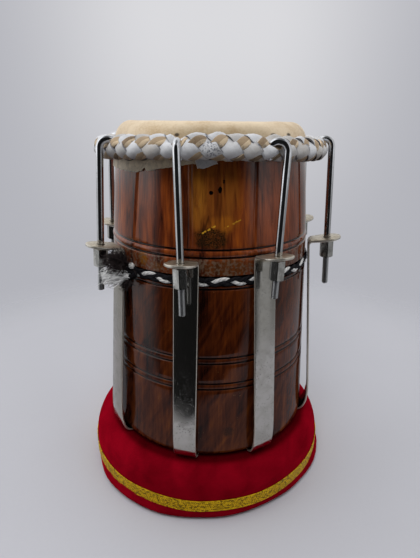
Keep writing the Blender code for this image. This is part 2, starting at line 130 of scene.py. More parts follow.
def gridFaces(rows, size, closedRows=False, closedLoop=True, start=0):
    # quads between neighbouring rows of points, each row a loop or an open line
    faces = []
    for i in range(rows if closedRows else rows - 1):
        here = start + i * size
        there = start + (i + 1) % rows * size
        for j in range(size if closedLoop else size - 1):
            k = (j + 1) % size
            faces.append((here + j, here + k, there + k, there + j))
    return faces


def endFaces(rows, size):
    # the two faces that close a tube
    return [tuple(range(size)), tuple(range((rows - 1) * size, rows * size))]


def turnedMesh(name, profile, steps, shape=None, sharpAngle=None):
    # a profile that starts on the axis ends on it, any other is a closed ring
    solid = profile[0][0] == 0.0
    rows = profile[1:-1] if solid else profile
    count = len(rows)
    verts = []
    for i in range(steps):
        turn = math.tau * i / steps
        for radius, height in rows:
            if shape:
                radius, height = shape(turn, radius, height)
            verts.append(onCircle(turn, radius, height))
    faces = gridFaces(steps, count, True, not solid)
    if solid:
        low = len(verts)
        verts.append((0.0, 0.0, profile[0][1]))
        verts.append((0.0, 0.0, profile[-1][1]))
        for i in range(steps):
            here = i * count
            there = (i + 1) % steps * count
            faces.append((low, here, there))
            faces.append((low + 1, here + count - 1, there + count - 1))
    return meshFrom(name, verts, faces, sharpAngle)


def tubeParts(points, sizes, sides, closed=False, uphill=None):
    # verts, faces and the share along the path of each vert; sizes are (half width, half depth)
    points = [Vector(p) for p in points]
    count = len(points)
    verts = []
    shares = []
    side = None
    for i, point in enumerate(points):
        if closed:
            ahead = points[(i + 1) % count] - points[i - 1]
        else:
            ahead = points[min(i + 1, count - 1)] - points[max(i - 1, 0)]
        ahead.normalize()
        if uphill:
            side = Vector(uphill[i])
        elif side is None:
            side = ahead.orthogonal()
        side = side - ahead * side.dot(ahead)
        side.normalize()
        other = ahead.cross(side)
        width, depth = sizes[i] if isinstance(sizes, list) else sizes
        for j in range(sides):
            turn = math.tau * j / sides
            verts.append(point + side * (width * math.cos(turn)) + other * (depth * math.sin(turn)))
            shares.append(i / count)
    faces = gridFaces(count, sides, closed)
    if not closed:
        faces += endFaces(count, sides)
    return verts, faces, shares


def joinParts(parts):
    verts = []
    faces = []
    for partVerts, partFaces in parts:
        start = len(verts)
        verts.extend(partVerts)
        faces.extend(tuple(start + v for v in face) for face in partFaces)
    return verts, faces


def bakedMesh(piece):
    # the mesh with its modifiers applied; the piece loses them
    bpy.context.view_layer.update()
    graph = bpy.context.evaluated_depsgraph_get()
    mesh = bpy.data.meshes.new_from_object(piece.evaluated_get(graph))
    piece.modifiers.clear()
    return mesh


def setFinish(mesh, mat):
    mesh.materials.clear()
    mesh.materials.append(mat)


def addPiece(name, mesh, mat, body, slotName, *replaced):
    piece = linkMesh(name, mesh)
    setFinish(mesh, mat)
    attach(piece, body)
    if replaced:
        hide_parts(*replaced)
    return piece


# small helpers for shader nodes
def addNode(tree, kind, values=None, **settings):
    node = tree.nodes.new(kind)
    for key, value in settings.items():
        setattr(node, key, value)
    for key, value in (values or {}).items():
        if isinstance(value, bpy.types.NodeSocket):
            tree.links.new(value, node.inputs[key])
        else:
            node.inputs[key].default_value = value
    return node


def mathOut(tree, operation, first, second=0.0, clamp=False):
    values = {0: first, 1: second}
    return addNode(tree, "ShaderNodeMath", values, operation=operation, use_clamp=clamp).outputs[0]


def timesOut(tree, first, second):
    return mathOut(tree, "MULTIPLY", first, second)


def weightedOut(tree, *pairs):
    # sum of values, each times its weight
    total = None
    for value, weight in pairs:
        part = timesOut(tree, value, weight)
        total = part if total is None else mathOut(tree, "ADD", total, part)
    return total


def vectorOut(tree, operation, first, second=(0.0, 0.0, 0.0)):
    node = addNode(tree, "ShaderNodeVectorMath", {0: first, 1: second}, operation=operation)
    return node.outputs["Value" if operation in ("LENGTH", "DISTANCE", "DOT_PRODUCT") else "Vector"]


def axisOut(tree, vector, axis):
    return addNode(tree, "ShaderNodeSeparateXYZ", {0: vector}).outputs[axis]


def cellsOut(tree, vector, scale, output="Distance", feature="F1"):
    values = {"Vector": vector, "Scale": scale}
    return addNode(tree, "ShaderNodeTexVoronoi", values, feature=feature).outputs[output]


def noiseOut(tree, vector, scale, detail=3.0, distortion=0.0):
    values = {"Vector": vector, "Scale": scale, "Detail": detail, "Distortion": distortion}
    return addNode(tree, "ShaderNodeTexNoise", values).outputs["Fac"]


def stretchOut(tree, vector, scale):
    return addNode(tree, "ShaderNodeMapping", {"Vector": vector, "Scale": scale}).outputs["Vector"]


def rangeOut(tree, value, low, high, newLow=0.0, newHigh=1.0, smooth=False):
    kind = "SMOOTHSTEP" if smooth else "LINEAR"
    values = {0: value, 1: low, 2: high, 3: newLow, 4: newHigh}
    return addNode(tree, "ShaderNodeMapRange", values, interpolation_type=kind).outputs[0]


def mixOut(tree, share, first, second, blend="MIX"):
    node = addNode(tree, "ShaderNodeMix", data_type="RGBA", blend_type=blend)
    for socket, value in ((node.inputs[0], share), (node.inputs[6], first), (node.inputs[7], second)):
        if isinstance(value, bpy.types.NodeSocket):
            tree.links.new(value, socket)
        elif isinstance(value, tuple):
            socket.default_value = (*value, 1.0)
        else:
            socket.default_value = value
    return node.outputs[2]


def tintOut(tree, colour, tint):
    return mixOut(tree, 1.0, colour, tint, "MULTIPLY")


def blendOut(tree, share, first, second):
    return addNode(tree, "ShaderNodeMix", {0: share, 2: first, 3: second}, data_type="FLOAT").outputs[0]


def rampOut(tree, value, stops):
    node = addNode(tree, "ShaderNodeValToRGB", {"Fac": value})
    elements = node.color_ramp.elements
    while len(elements) < len(stops):
        elements.new(0.5)
    for element, (place, colour) in zip(elements, stops):
        element.position = place
        element.color = (*colour, 1.0)
    return node.outputs["Color"]


def valueOut(tree, name):
    return addNode(tree, "ShaderNodeAttribute", attribute_name=name).outputs["Fac"]


def objectOut(tree):
    return addNode(tree, "ShaderNodeTexCoord").outputs["Object"]


def bumpOut(tree, height, distance, strength=1.0):
    values = {"Height": height, "Distance": distance, "Strength": strength}
    return addNode(tree, "ShaderNodeBump", values).outputs["Normal"]


def newMaterial(name, **constants):
    mat = bpy.data.materials.new(name)
    mat.use_nodes = True
    shader = mat.node_tree.nodes["Principled BSDF"]
    for key, value in constants.items():
        shader.inputs[key].default_value = value
    return mat, mat.node_tree, shader


def feed(tree, shader, **sockets):
    names = {"colour": "Base Color", "rough": "Roughness", "normal": "Normal"}
    names.update({"metal": "Metallic", "coat": "Coat Weight", "alpha": "Alpha"})
    for key, output in sockets.items():
        tree.links.new(output, shader.inputs[names[key]])


# shared effects, each a node group that several finishes place with their own values
def newGroup(name, vectors, floats, outputs):
    tree = bpy.data.node_groups.new(name, "ShaderNodeTree")
    rows = [(label, "INPUT", "NodeSocketVector") for label in vectors]
    rows += [(label, "INPUT", "NodeSocketFloat") for label in floats]
    rows += [(label, "OUTPUT", "NodeSocketFloat") for label in outputs]
    for label, way, kind in rows:
        tree.interface.new_socket(name=label, in_out=way, socket_type=kind)
    return tree, tree.nodes.new("NodeGroupInput").outputs, tree.nodes.new("NodeGroupOutput").inputs


def placeGroup(tree, group, values):
    return addNode(tree, "ShaderNodeGroup", values, node_tree=group).outputs


def makeSpotMask():
    # soft patch round a point, with a ragged edge
    vectors = ("Place", "Centre", "Reach")
    floats = ("Feather", "Ragged", "Ragged Scale")
    tree, given, result = newGroup("spotMask", vectors, floats, ("Mask",))
    offset = vectorOut(tree, "SUBTRACT", given["Place"], given["Centre"])
    reach = vectorOut(tree, "LENGTH", vectorOut(tree, "DIVIDE", offset, given["Reach"]))
    wander = mathOut(tree, "SUBTRACT", noiseOut(tree, given["Place"], given["Ragged Scale"], 4.0), 0.5)
    reach = mathOut(tree, "ADD", reach, timesOut(tree, wander, given["Ragged"]))
    low = mathOut(tree, "SUBTRACT", 1.0, given["Feather"])
    high = mathOut(tree, "ADD", 1.0, given["Feather"])
    tree.links.new(rangeOut(tree, reach, low, high, 1.0, 0.0, True), result["Mask"])
    return tree


def makeMottle():
    # blotches over fine grain, centred on 0.5
    floats = ("Blotch Scale", "Grain Scale", "Grain Share")
    tree, given, result = newGroup("mottle", ("Place",), floats, ("Tone", "Grain"))
    blotch = noiseOut(tree, given["Place"], given["Blotch Scale"], 4.0, 0.4)
    grain = noiseOut(tree, given["Place"], given["Grain Scale"], 3.0)
    lean = mathOut(tree, "SUBTRACT", grain, blotch)
    tone = mathOut(tree, "ADD", blotch, timesOut(tree, lean, given["Grain Share"]))
    tree.links.new(tone, result["Tone"])
    tree.links.new(grain, result["Grain"])
    return tree


def makeMetalWear():
    # pits, rubbed streaks and stains for plated steel
    pitEdge = (0.10, 0.27)
    patchScale = 130.0                # pits come in patches of this size
    patchEdge = (0.36, 0.52)
    stainEdge = (0.40, 0.66)
    rubbedScale = 900.0
    rubbedStretch = (1.0, 1.0, 0.12)
    floats = ("Pit Scale", "Pit Amount", "Stain Scale", "Smooth", "Dull")
    tree, given, result = newGroup("metalWear", ("Place",), floats, ("Stain", "Pits", "Roughness"))
    place = given["Place"]
    near = rangeOut(tree, cellsOut(tree, place, given["Pit Scale"]), *pitEdge, 1.0, 0.0, True)
    pits = timesOut(tree, near, given["Pit Amount"])
    pits = timesOut(tree, pits, rangeOut(tree, noiseOut(tree, place, patchScale, 2.0), *patchEdge))
    stain = noiseOut(tree, place, given["Stain Scale"], 5.0, 0.5)
    stain = rangeOut(tree, stain, *stainEdge, 0.0, 1.0, True)
    rubbed = noiseOut(tree, stretchOut(tree, place, rubbedStretch), rubbedScale, 3.0)
    share = weightedOut(tree, (stain, 0.6), (rubbed, 0.4))
    tree.links.new(stain, result["Stain"])
    tree.links.new(pits, result["Pits"])
    tree.links.new(rangeOut(tree, share, 0.1, 0.8, given["Smooth"], given["Dull"]), result["Roughness"])
    return tree


def makeYarnTwist():
    # plies that wind round a strand, from its "along" and "round" values
    fuzzScale = 2600.0
    plyShare = 0.35                   # weight of the plies against the fuzz
    floats = ("Along", "Round", "Plies", "Turns")
    tree, given, result = newGroup("yarnTwist", ("Place",), floats, ("Height", "Tone"))
    wind = timesOut(tree, given["Along"], given["Turns"])
    phase = timesOut(tree, mathOut(tree, "ADD", wind, given["Round"]), given["Plies"])
    wave = mathOut(tree, "SINE", timesOut(tree, phase, math.tau))
    fuzz = noiseOut(tree, given["Place"], fuzzScale, 2.0)
    height = mathOut(tree, "ADD", timesOut(tree, wave, plyShare), fuzz)
    tree.links.new(height, result["Height"])
    tree.links.new(rangeOut(tree, height, 0.1, 0.9, 0.55, 1.1), result["Tone"])
    return tree


spotMask = makeSpotMask()
mottle = makeMottle()
metalWear = makeMetalWear()
yarnTwist = makeYarnTwist()
print("shared effects ready")


def spotOut(tree, place, centre, reach, feather, ragged, raggedScale):
    values = {"Place": place, "Centre": centre, "Reach": reach}
    values.update({"Feather": feather, "Ragged": ragged, "Ragged Scale": raggedScale})
    return placeGroup(tree, spotMask, values)["Mask"]


def mottled(tree, place, blotch, grain, share):
    values = {"Place": place, "Blotch Scale": blotch, "Grain Scale": grain, "Grain Share": share}
    return placeGroup(tree, mottle, values)


# wooden shell
shellSettings = {
    "baseRadius": 0.0929,
    "waistRadius": 0.0846,
    "waistUp": 0.1738,
    "rimRadius": 0.0770,
    "height": 0.2595,
    "wall": 0.0140,
    "baseRounding": 0.0050,
    "rimRounding": 0.0120,
    "cavityFloorUp": 0.0780,
    "cavityRounding": 0.0220,
    "linesUp": (0.1767, 0.1709, 0.1473, 0.0907, 0.0858, 0.0682, 0.0631),
    "lineHalf": 0.0013,
    "lineDepth": 0.0012,
    "beadHalf": 0.0029,
    "beadSwell": 0.0005,
    "beadShare": 0.7,             # of its half height that swells
    "cordUp": 0.1535,
    "cordSeatHalf": 0.0040,
    "cordSeatDepth": 0.0015,
    "cordSeatEdge": 0.0006,
    "rowStep": 0.0045,            # between rows of points where nothing is turned
    "rowGap": 0.0005,             # no closer than this to a row that follows a line
    "steps": 192,
}


def shellRadius(up):
    s = shellSettings
    if up < s["waistUp"]:
        return s["baseRadius"] + (s["waistRadius"] - s["baseRadius"]) * up / s["waistUp"]
    share = (up - s["waistUp"]) / (s["height"] - s["waistUp"])
    return s["waistRadius"] + (s["rimRadius"] - s["waistRadius"]) * share


def shellCut(up):
    # depth of the turned lines and the cord's seat, less the swell of the bead
    s = shellSettings
    depth = 0.0
    for line in s["linesUp"]:
        away = abs(up - line) / s["lineHalf"]
        if away < 1.0:
            depth = max(depth, s["lineDepth"] * (0.5 + 0.5 * math.cos(math.pi * away)))
    seatEnd = s["cordSeatHalf"]
    beside = smoothStep(abs(up - s["cordUp"]), seatEnd - s["cordSeatEdge"], seatEnd)
    depth = max(depth, s["cordSeatDepth"] * (1.0 - beside))
    bead = abs(up - s["waistUp"]) / s["beadHalf"]
    if bead < s["beadShare"]:
        depth -= s["beadSwell"] * math.cos(bead / s["beadShare"] * math.pi / 2)
    return depth


def makeShell(mat):
    s = shellSettings
    ups = set()
    for line in s["linesUp"]:
        for i in range(-6, 7):
            ups.add(round(line + s["lineHalf"] * i / 6, 6))
    for i in range(-8, 9):
        ups.add(round(s["cordUp"] + (s["cordSeatHalf"] + 0.0002) * i / 8, 6))
        ups.add(round(s["waistUp"] + s["beadHalf"] * s["beadShare"] * i / 8, 6))
    top = s["height"] - s["rimRounding"]
    step = s["rowStep"]
    up = s["baseRounding"] + step
    while up < top - step / 2:
        if min(abs(up - other) for other in ups) > s["rowGap"]:
            ups.add(up)
        up += step
    profile = [(0.0, 0.0)]
    low = s["baseRadius"] - s["baseRounding"]
    profile += arcPoints((low, s["baseRounding"]), (s["baseRounding"], s["baseRounding"]), -90.0, 0.0, 7)
    profile += [(shellRadius(up) - shellCut(up), up) for up in sorted(ups)]
    shoulder = s["rimRadius"] - s["rimRounding"]
    profile += arcPoints((shoulder, top), (s["rimRounding"], s["rimRounding"]), 0.0, 90.0, 10)
    mouth = s["rimRadius"] - s["wall"]
    rounding = s["cavityRounding"]
    profile.append((mouth, s["height"]))
    corner = (mouth - rounding, s["cavityFloorUp"] + rounding)
    profile += arcPoints(corner, (rounding, rounding), 0.0, -90.0, 8)
    profile.append((0.0, s["cavityFloorUp"]))
    lifted = [(radius, shellBase + up) for radius, up in profile]
    mesh = turnedMesh("woodShell", lifted, s["steps"], None, 50.0)
    insideRadius = 0.07               # the cavity is within this
    shades = []
    for vert in mesh.vertices:
        up = vert.co.z - shellBase
        outside = math.hypot(vert.co.x, vert.co.y) > insideRadius
        deep = max(0.0, shellCut(up)) / s["lineDepth"] if outside else 0.0
        shades.append(min(1.0, deep))
    addValues(mesh, "groove", shades)
    return addPiece("woodShell", mesh, mat, "drum", "wood", "shell")


woodSettings = {
    "dark": (0.017, 0.0044, 0.0026),
    "middle": (0.076, 0.0172, 0.0064),
    "light": (0.172, 0.0420, 0.0105),
    "ember": (0.290, 0.0800, 0.0120),
    "groove": (0.004, 0.002, 0.0015),
    # layers of grain: stretch along the height, scale, detail, distortion
    "grain": ((0.14, 62.0, 3.0, 0.9), (0.10, 210.0, 4.0, 1.2), (0.035, 620.0, 3.0, 0.3)),
    "grainWeights": (0.42, 0.36, 0.22),
    "grainStops": (0.37, 0.46, 0.56, 0.68),
    "figure": (0.16, 150.0, 3.0, 0.8),    # leaning figure that takes the middle layer's place low down
    "figureLean": -0.42,
    "figureUp": (0.140, 0.170),           # heights between which it gives way
    # tint by height, from the foot to the rim: darker low down with a bluish cast at the foot, which is
    # painted reflection of a pale haze, and lighter above the cord
    "heights": (
        (0.00, (0.58, 0.57, 0.64)),
        (0.33, (0.58, 0.55, 0.58)),
        (0.37, (0.60, 0.52, 0.38)),
        (0.58, (0.68, 0.58, 0.42)),
        (0.66, (1.36, 1.20, 1.02)),
        (1.00, (1.46, 1.30, 1.14)),
    ),
    "spots": (
        # centre, reach, feather, ragged, ragged scale, colour, strength
        ((0.0035, -0.0815, 0.2620), (0.0150, 0.030, 0.0300), 0.45, 0.9, 60.0, (0.300, 0.094, 0.013), 0.74),
        ((-0.0085, -0.0815, 0.2640), (0.0050, 0.020, 0.0190), 0.55, 0.8, 90.0, (0.400, 0.152, 0.017), 0.70),
        ((0.0150, -0.0800, 0.2680), (0.0045, 0.020, 0.0170), 0.55, 0.8, 90.0, (0.340, 0.110, 0.017), 0.55),
        ((0.0090, -0.0825, 0.2440), (0.0095, 0.020, 0.0055), 0.45, 0.9, 120.0, (0.440, 0.140, 0.012), 0.70),
        ((0.0005, -0.0838, 0.2338), (0.0118, 0.020, 0.0074), 0.22, 0.9, 160.0, (0.016, 0.010, 0.004), 1.00),
        ((-0.0499, -0.0687, 0.2149), (0.0040, 0.006, 0.0046), 0.40, 0.8, 200.0, (0.300, 0.120, 0.014), 0.85),
        ((-0.0403, -0.0750, 0.2109), (0.0052, 0.006, 0.0034), 0.40, 0.8, 200.0, (0.170, 0.060, 0.012), 0.80),
        ((0.0140, -0.0840, 0.2130), (0.0190, 0.010, 0.0060), 0.40, 1.2, 150.0, (0.085, 0.042, 0.014), 0.60),
        ((0.0520, -0.0640, 0.2560), (0.0190, 0.030, 0.0300), 0.50, 0.7, 50.0, (0.330, 0.085, 0.034), 0.60),
        ((0.0165, -0.0885, 0.0720), (0.0050, 0.008, 0.0050), 0.30, 0.9, 170.0, (0.012, 0.006, 0.004), 0.75),
        ((0.0007, -0.0808, 0.2659), (0.0015, 0.006, 0.0015), 0.16, 0.9, 500.0, (0.002, 0.001, 0.001), 1.00),
        ((0.0070, -0.0803, 0.2679), (0.0013, 0.006, 0.0021), 0.16, 0.9, 500.0, (0.002, 0.001, 0.001), 1.00),
        ((0.0094, -0.0795, 0.2734), (0.0008, 0.006, 0.0015), 0.20, 0.9, 500.0, (0.004, 0.002, 0.001), 0.95),
    ),
    "softFeather": 0.42,                  # spots softer than this follow the grain
    "smallReach": 0.0030,                 # harder ones wider than this are speckled
    # scratches: start, end, half width
    "scratches": (
        ((-0.0047, -0.0831, 0.2384), (0.0035, -0.0826, 0.2432), 0.00050),
        ((0.0110, -0.0818, 0.2420), (0.0213, -0.0796, 0.2469), 0.00042),
    ),
    "scratchColour": (0.72, 0.38, 0.030),
    "chip": (0.30, 0.150, 0.050),
    "worn": (0.165, 0.112, 0.076),
    "rubbedUp": (0.1640, 0.0062),         # middle and half height of the belt above the cord
    "varnish": (0.42, 1.00),              # what is left of it at the foot and above the cord
    "varnishUp": (0.03, 0.15),
}


def makeWood(settings):
    constants = {"Coat Roughness": 0.07, "Coat IOR": 1.42, "Specular IOR Level": 0.0}
    mat, tree, shader = newMaterial("varnishedWood", **constants)
    place = objectOut(tree)
    height = axisOut(tree, place, "Z")

    def layerOut(vector, stretch, scale, detail, distortion):
        return noiseOut(tree, stretchOut(tree, vector, (1.0, 1.0, stretch)), scale, detail, distortion)

    def patchOut(scale, detail, low, high, newLow=0.0, newHigh=1.0, smooth=False):
        return rangeOut(tree, noiseOut(tree, place, scale, detail), low, high, newLow, newHigh, smooth)

    broad, middle, fine = [layerOut(place, *row) for row in settings["grain"]]
    lean = {"Vector": place, "Rotation": (0.0, settings["figureLean"], 0.0)}
    leaned = addNode(tree, "ShaderNodeMapping", lean).outputs["Vector"]
    low, high = [shellBase + up for up in settings["figureUp"]]
    belt = rangeOut(tree, height, low, high, 1.0, 0.0, True)
    middle = blendOut(tree, belt, middle, layerOut(leaned, *settings["figure"]))
    streak = weightedOut(tree, *zip((broad, middle, fine), settings["grainWeights"]))
    shades = [settings[key] for key in ("dark", "middle", "light", "ember")]
    colour = rampOut(tree, streak, tuple(zip(settings["grainStops"], shades)))
    share = rangeOut(tree, height, shellBase, shellBase + shellSettings["height"])
    # painted reflection: the bluish cast at the foot stands in for reflected haze; the tint also darkens the
    # wood low down and lightens it above the cord
    colour = tintOut(tree, colour, rampOut(tree, share, settings["heights"]))
    grained = rangeOut(tree, middle, 0.36, 0.60, 0.25, 1.0)
    speckled = patchOut(1100.0, 2.0, 0.40, 0.58, 0.45)
    for centre, reach, feather, ragged, raggedScale, tint, strength in settings["spots"]:
        mask = spotOut(tree, place, centre, reach, feather, ragged, raggedScale)
        if feather > settings["softFeather"]:
            mask = timesOut(tree, mask, grained)
        elif reach[0] > settings["smallReach"]:
            mask = timesOut(tree, mask, speckled)
        colour = mixOut(tree, timesOut(tree, mask, strength), colour, tint)
    for start, end, half in settings["scratches"]:
        along = Vector(end) - Vector(start)
        offset = vectorOut(tree, "SUBTRACT", place, start)
        share = vectorOut(tree, "DOT_PRODUCT", offset, tuple(along / along.length_squared))
        share = mathOut(tree, "ADD", share, 0.0, True)
        away = vectorOut(tree, "DISTANCE", offset, vectorOut(tree, "MULTIPLY", tuple(along), share))
        ragged = patchOut(620.0, 3.0, 0.36, 0.64, -half, half * 1.2)
        mask = rangeOut(tree, mathOut(tree, "ADD", away, ragged), 0.0, half * 1.5, 1.0, 0.0, True)
        colour = mixOut(tree, mask, colour, settings["scratchColour"])
    specks = rangeOut(tree, cellsOut(tree, place, 420.0), 0.06, 0.22, 1.0, 0.0, True)
    scuffs = timesOut(tree, patchOut(85.0, 3.0, 0.57, 0.68), 0.6)
    colour = mixOut(tree, timesOut(tree, specks, scuffs), colour, settings["chip"])
    beltMiddle, beltHalf = settings["rubbedUp"]
    rubbed = mathOut(tree, "COMPARE", height, shellBase + beltMiddle)
    rubbed.node.inputs[2].default_value = beltHalf
    flakes = patchOut(480.0, 4.0, 0.44, 0.64, 0.0, 0.75, True)
    colour = mixOut(tree, timesOut(tree, rubbed, flakes), colour, settings["worn"])
    groove = rangeOut(tree, valueOut(tree, "groove"), 0.15, 0.75, 0.0, 0.95, True)
    colour = mixOut(tree, groove, colour, settings["groove"])
    rough = rangeOut(tree, broad, 0.3, 0.7, 0.34, 0.50)
    low, high = [shellBase + up for up in settings["varnishUp"]]
    coat = rangeOut(tree, height, low, high, *settings["varnish"], True)
    feed(tree, shader, colour=colour, rough=rough, coat=coat, normal=bumpOut(tree, fine, 0.00010, 0.5))
    return mat


makeShell(makeWood(woodSettings))
print("wooden shell done")


# skins of the head, and the black paste
headSettings = {
    "shoulderRadius": 0.0650,
    "shoulderUp": 0.2475,
    "rise": 0.0145,
    "roundingReach": 0.0123,
    "thick": 0.0010,
    "innerRadius": 0.0520,
    "edgeRise": 0.55,                 # share of the thickness where the inner edge starts to round
    "edgeRuns": (0.0008, 0.0065),     # from the inner edge, where it is rounded and where the crown is flat
    "hemUp": 0.2310,
    "hemSlope": 0.158,
    "hemLow": (-82.0, -4.0),          # degrees from the front where the hem hangs to its full depth
    "hemEnds": (16.0, 9.0),           # and the degrees it takes to shorten at either end
    "hemShort": 0.0068,               # how much shorter it is elsewhere
    "hemTilt": (-0.0022, 0.0055),     # how it rises towards the right end of that stretch
    "hemTiltRun": (-38.0, 2.0),       # degrees from that end
    "hemWaves": ((3.1, 0.0016), (17.0, 0.0007), (60.0, 0.0004)),      # scale and size
    "tearTurn": -35.5,
    "tearRise": 0.0026,
    "tearHalf": 1.1,
    "crownWaves": ((2.2, 0.0004), (9.0, 0.00018)),
    "crownFrom": (0.056, 0.064),      # radii where these start and are full
    "soilUp": (-0.008, 0.011),        # heights from the shoulder where the soil starts to end, and ends
    "steps": 540,
    "pasteRadius": 0.0360,
    "pasteHeight": 0.0009,
    "pasteRings": 13,
    "pasteCore": 0.16,                # radius of the last ring, as a share
    "pasteSpacing": 1.25,             # above 1, the rings are closer at the edge
    "pasteCrown": 1.7,                # above 1, the rise is steeper at the edge
    "pasteStep": (0.0004, 0.00003),   # run and rise of each ring's bevel
}


def waves(where, rows):
    # noise at several scales
    return sum(noise.noise(where * scale) * size for scale, size in rows)


def hemRise(turn):
    s = headSettings
    angle = signedTurn(math.degrees(turn))
    low, high = s["hemLow"]
    left, right = s["hemEnds"]
    inside = smoothStep(angle, low - left, low) * (1.0 - smoothStep(angle, high, high + right))
    ragged = waves(Vector((math.sin(turn), math.cos(turn), 0.0)), s["hemWaves"])
    tear = s["tearRise"] * math.exp(-((angle - s["tearTurn"]) / s["tearHalf"]) ** 2)
    tiltLow, tiltHigh = s["hemTilt"]
    start, end = s["hemTiltRun"]
    tilt = tiltLow + (tiltHigh - tiltLow) * smoothStep(angle, high + start, high + end)
    return s["hemShort"] * (1.0 - inside) + tilt * inside + ragged + tear


def crownSwell(turn):
    return waves(Vector((math.sin(turn), math.cos(turn), 0.4)), headSettings["crownWaves"])


def makeRimSkin(mat):
    s = headSettings
    thick = s["thick"]
    inner = s["innerRadius"]
    crown = s["shoulderUp"] + s["rise"]
    full = s["shoulderUp"] - s["hemUp"]
    centre = (s["shoulderRadius"], s["shoulderUp"])
    over = [(inner, crown + thick * s["edgeRise"])]
    over += [(inner + run, crown + thick) for run in s["edgeRuns"]]
    over += arcPoints(centre, (s["roundingReach"] + thick, s["rise"] + thick), 90.0, 0.0, 16)
    outer = s["shoulderRadius"] + s["roundingReach"] + thick
    hemRows = 8
    for i in range(1, hemRows + 1):
        drop = full * i / hemRows
        over.append((outer + drop * s["hemSlope"], s["shoulderUp"] - drop))
    under = [(radius - thick, up) for radius, up in over[-1:-hemRows - 1:-1]]
    under += arcPoints(centre, (s["roundingReach"], s["rise"]), 0.0, 90.0, 12)
    under.append((inner, crown))

    def shape(turn, radius, height):
        drop = s["shoulderUp"] - (height - shellBase)
        if drop > 0.0001:
            change = hemRise(turn) * drop / full
            return radius - change * s["hemSlope"], height + change
        return radius, height + crownSwell(turn) * smoothStep(radius, *s["crownFrom"])

    lifted = [(radius, shellBase + up) for radius, up in over + under]
    mesh = turnedMesh("rimSkin", lifted, s["steps"], shape, 60.0)
    soiled, clean = [shellBase + s["shoulderUp"] + up for up in s["soilUp"]]
    addValues(mesh, "soil", [1.0 - smoothStep(vert.co.z, soiled, clean) for vert in mesh.vertices])
    return addPiece("rimSkin", mesh, mat, "drum", "hide", "rim_skin")


def makePaste(mat):
    # laid on in many thin rings, so it steps down towards its edge
    s = headSettings
    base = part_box("black_paste")[0].z
    rings = s["pasteRings"]
    core = s["pasteCore"]
    run, rise = s["pasteStep"]
    profile = [(0.0, base), (s["pasteRadius"], base)]
    for i in range(rings):
        share = 1.0 - (i + 1) / rings
        radius = s["pasteRadius"] * (core + (1.0 - core) * (1.0 - (i / rings) ** s["pasteSpacing"]))
        height = s["pasteHeight"] * (1.0 - share ** s["pasteCrown"])
        profile.append((radius, base + height - rise))
        profile.append((radius - run, base + height))
    profile.append((0.0, base + s["pasteHeight"]))
    mesh = turnedMesh("blackPaste", profile, 128, None, 60.0)
    return addPiece("blackPaste", mesh, mat, "drum", "paste", "black_paste")


hideSettings = {
    "pale": (0.70, 0.570, 0.405),
    "deep": (0.54, 0.395, 0.235),
    "soiled": (0.680, 0.570, 0.420),
    "soiledDark": (0.300, 0.240, 0.172),
    "darkening": (0.60, 0.58, 0.53),   # painted shade: tint that darkens the front of the rim, which faces the dim front
    # centre, reach, feather, ragged and ragged scale of that patch
    "frontShadeSpot": ((0.012, -0.080, 0.3020), (0.045, 0.022, 0.0075), 0.55, 0.6, 45.0),
    # slits the strips pass through, painted on the skin as dark shadow: degrees round from the front, radius,
    # height, half length
    "slits": (
        (-17.0, 0.0769, 0.2543, 0.0018),
        (-6.0, 0.0768, 0.2546, 0.0014),
        (34.5, 0.0768, 0.2545, 0.0027),
        (46.5, 0.0768, 0.2545, 0.0022),
    ),
    "slitHalf": 0.0011,
    "slitShade": (0.030, 0.020, 0.012),
    "main": (0.66, 0.54, 0.37),
    "mainDeep": (0.50, 0.37, 0.22),
}


def makeHide(name, pale, deep, settings, hasSoil):
    mat, tree, shader = newMaterial(name, **{"Specular IOR Level": 0.35})
    place = objectOut(tree)
    skin = mottled(tree, place, 55.0, 650.0, 0.35)
    palest = tuple(min(1.0, c * 1.1) for c in pale)
    colour = rampOut(tree, skin["Tone"], ((0.34, deep), (0.56, pale), (0.75, palest)))
    if hasSoil:
        # painted shade on the front of the crown
        darkening = timesOut(tree, spotOut(tree, place, *settings["frontShadeSpot"]), 0.95)
        colour = mixOut(tree, darkening, colour, tintOut(tree, colour, settings["darkening"]))
        dirt = mottled(tree, place, 210.0, 1500.0, 0.4)
        grime = rampOut(tree, dirt["Tone"], ((0.30, settings["soiledDark"]), (0.62, settings["soiled"])))
        soil = mathOut(tree, "ADD", valueOut(tree, "soil"), timesOut(tree, skin["Tone"], 0.5))
        colour = mixOut(tree, rangeOut(tree, soil, 0.75, 1.15, 0.0, 1.0, True), colour, grime)
        # painted shadow of the slits where the strips pierce the skin
        for turn, radius, up, half in settings["slits"]:
            centre = onCircle(math.radians(turn), radius, shellBase + up)
            slitShade = spotOut(tree, place, centre, (half, half, settings["slitHalf"]), 0.45, 0.7, 420.0)
            colour = mixOut(tree, timesOut(tree, slitShade, 0.9), colour, settings["slitShade"])
    rough = rangeOut(tree, skin["Tone"], 0.3, 0.7, 0.48, 0.66)
    feed(tree, shader, colour=colour, rough=rough, normal=bumpOut(tree, skin["Grain"], 0.0002, 0.5))
    return mat


pasteSettings = {
    "dark": (0.010, 0.010, 0.011),
    "light": (0.030, 0.029, 0.030),
    "crack": (0.003, 0.003, 0.003),
    "crackScale": 620.0,
    "crackEdge": (0.015, 0.09),
}


def makePasteFinish(settings):
    mat, tree, shader = newMaterial("ironPaste", **{"Specular IOR Level": 0.45})
    place = objectOut(tree)
    edges = cellsOut(tree, place, settings["crackScale"], feature="DISTANCE_TO_EDGE")
    crack = rangeOut(tree, edges, *settings["crackEdge"], 0.0, 1.0, True)
    tone = mottled(tree, place, 90.0, 1400.0, 0.4)["Tone"]
    body = rampOut(tree, tone, ((0.35, settings["dark"]), (0.65, settings["light"])))
    colour = mixOut(tree, crack, settings["crack"], body)
    rough = rangeOut(tree, tone, 0.3, 0.7, 0.38, 0.62)
    feed(tree, shader, colour=colour, rough=rough, normal=bumpOut(tree, crack, 0.0003, 0.7))
    return mat


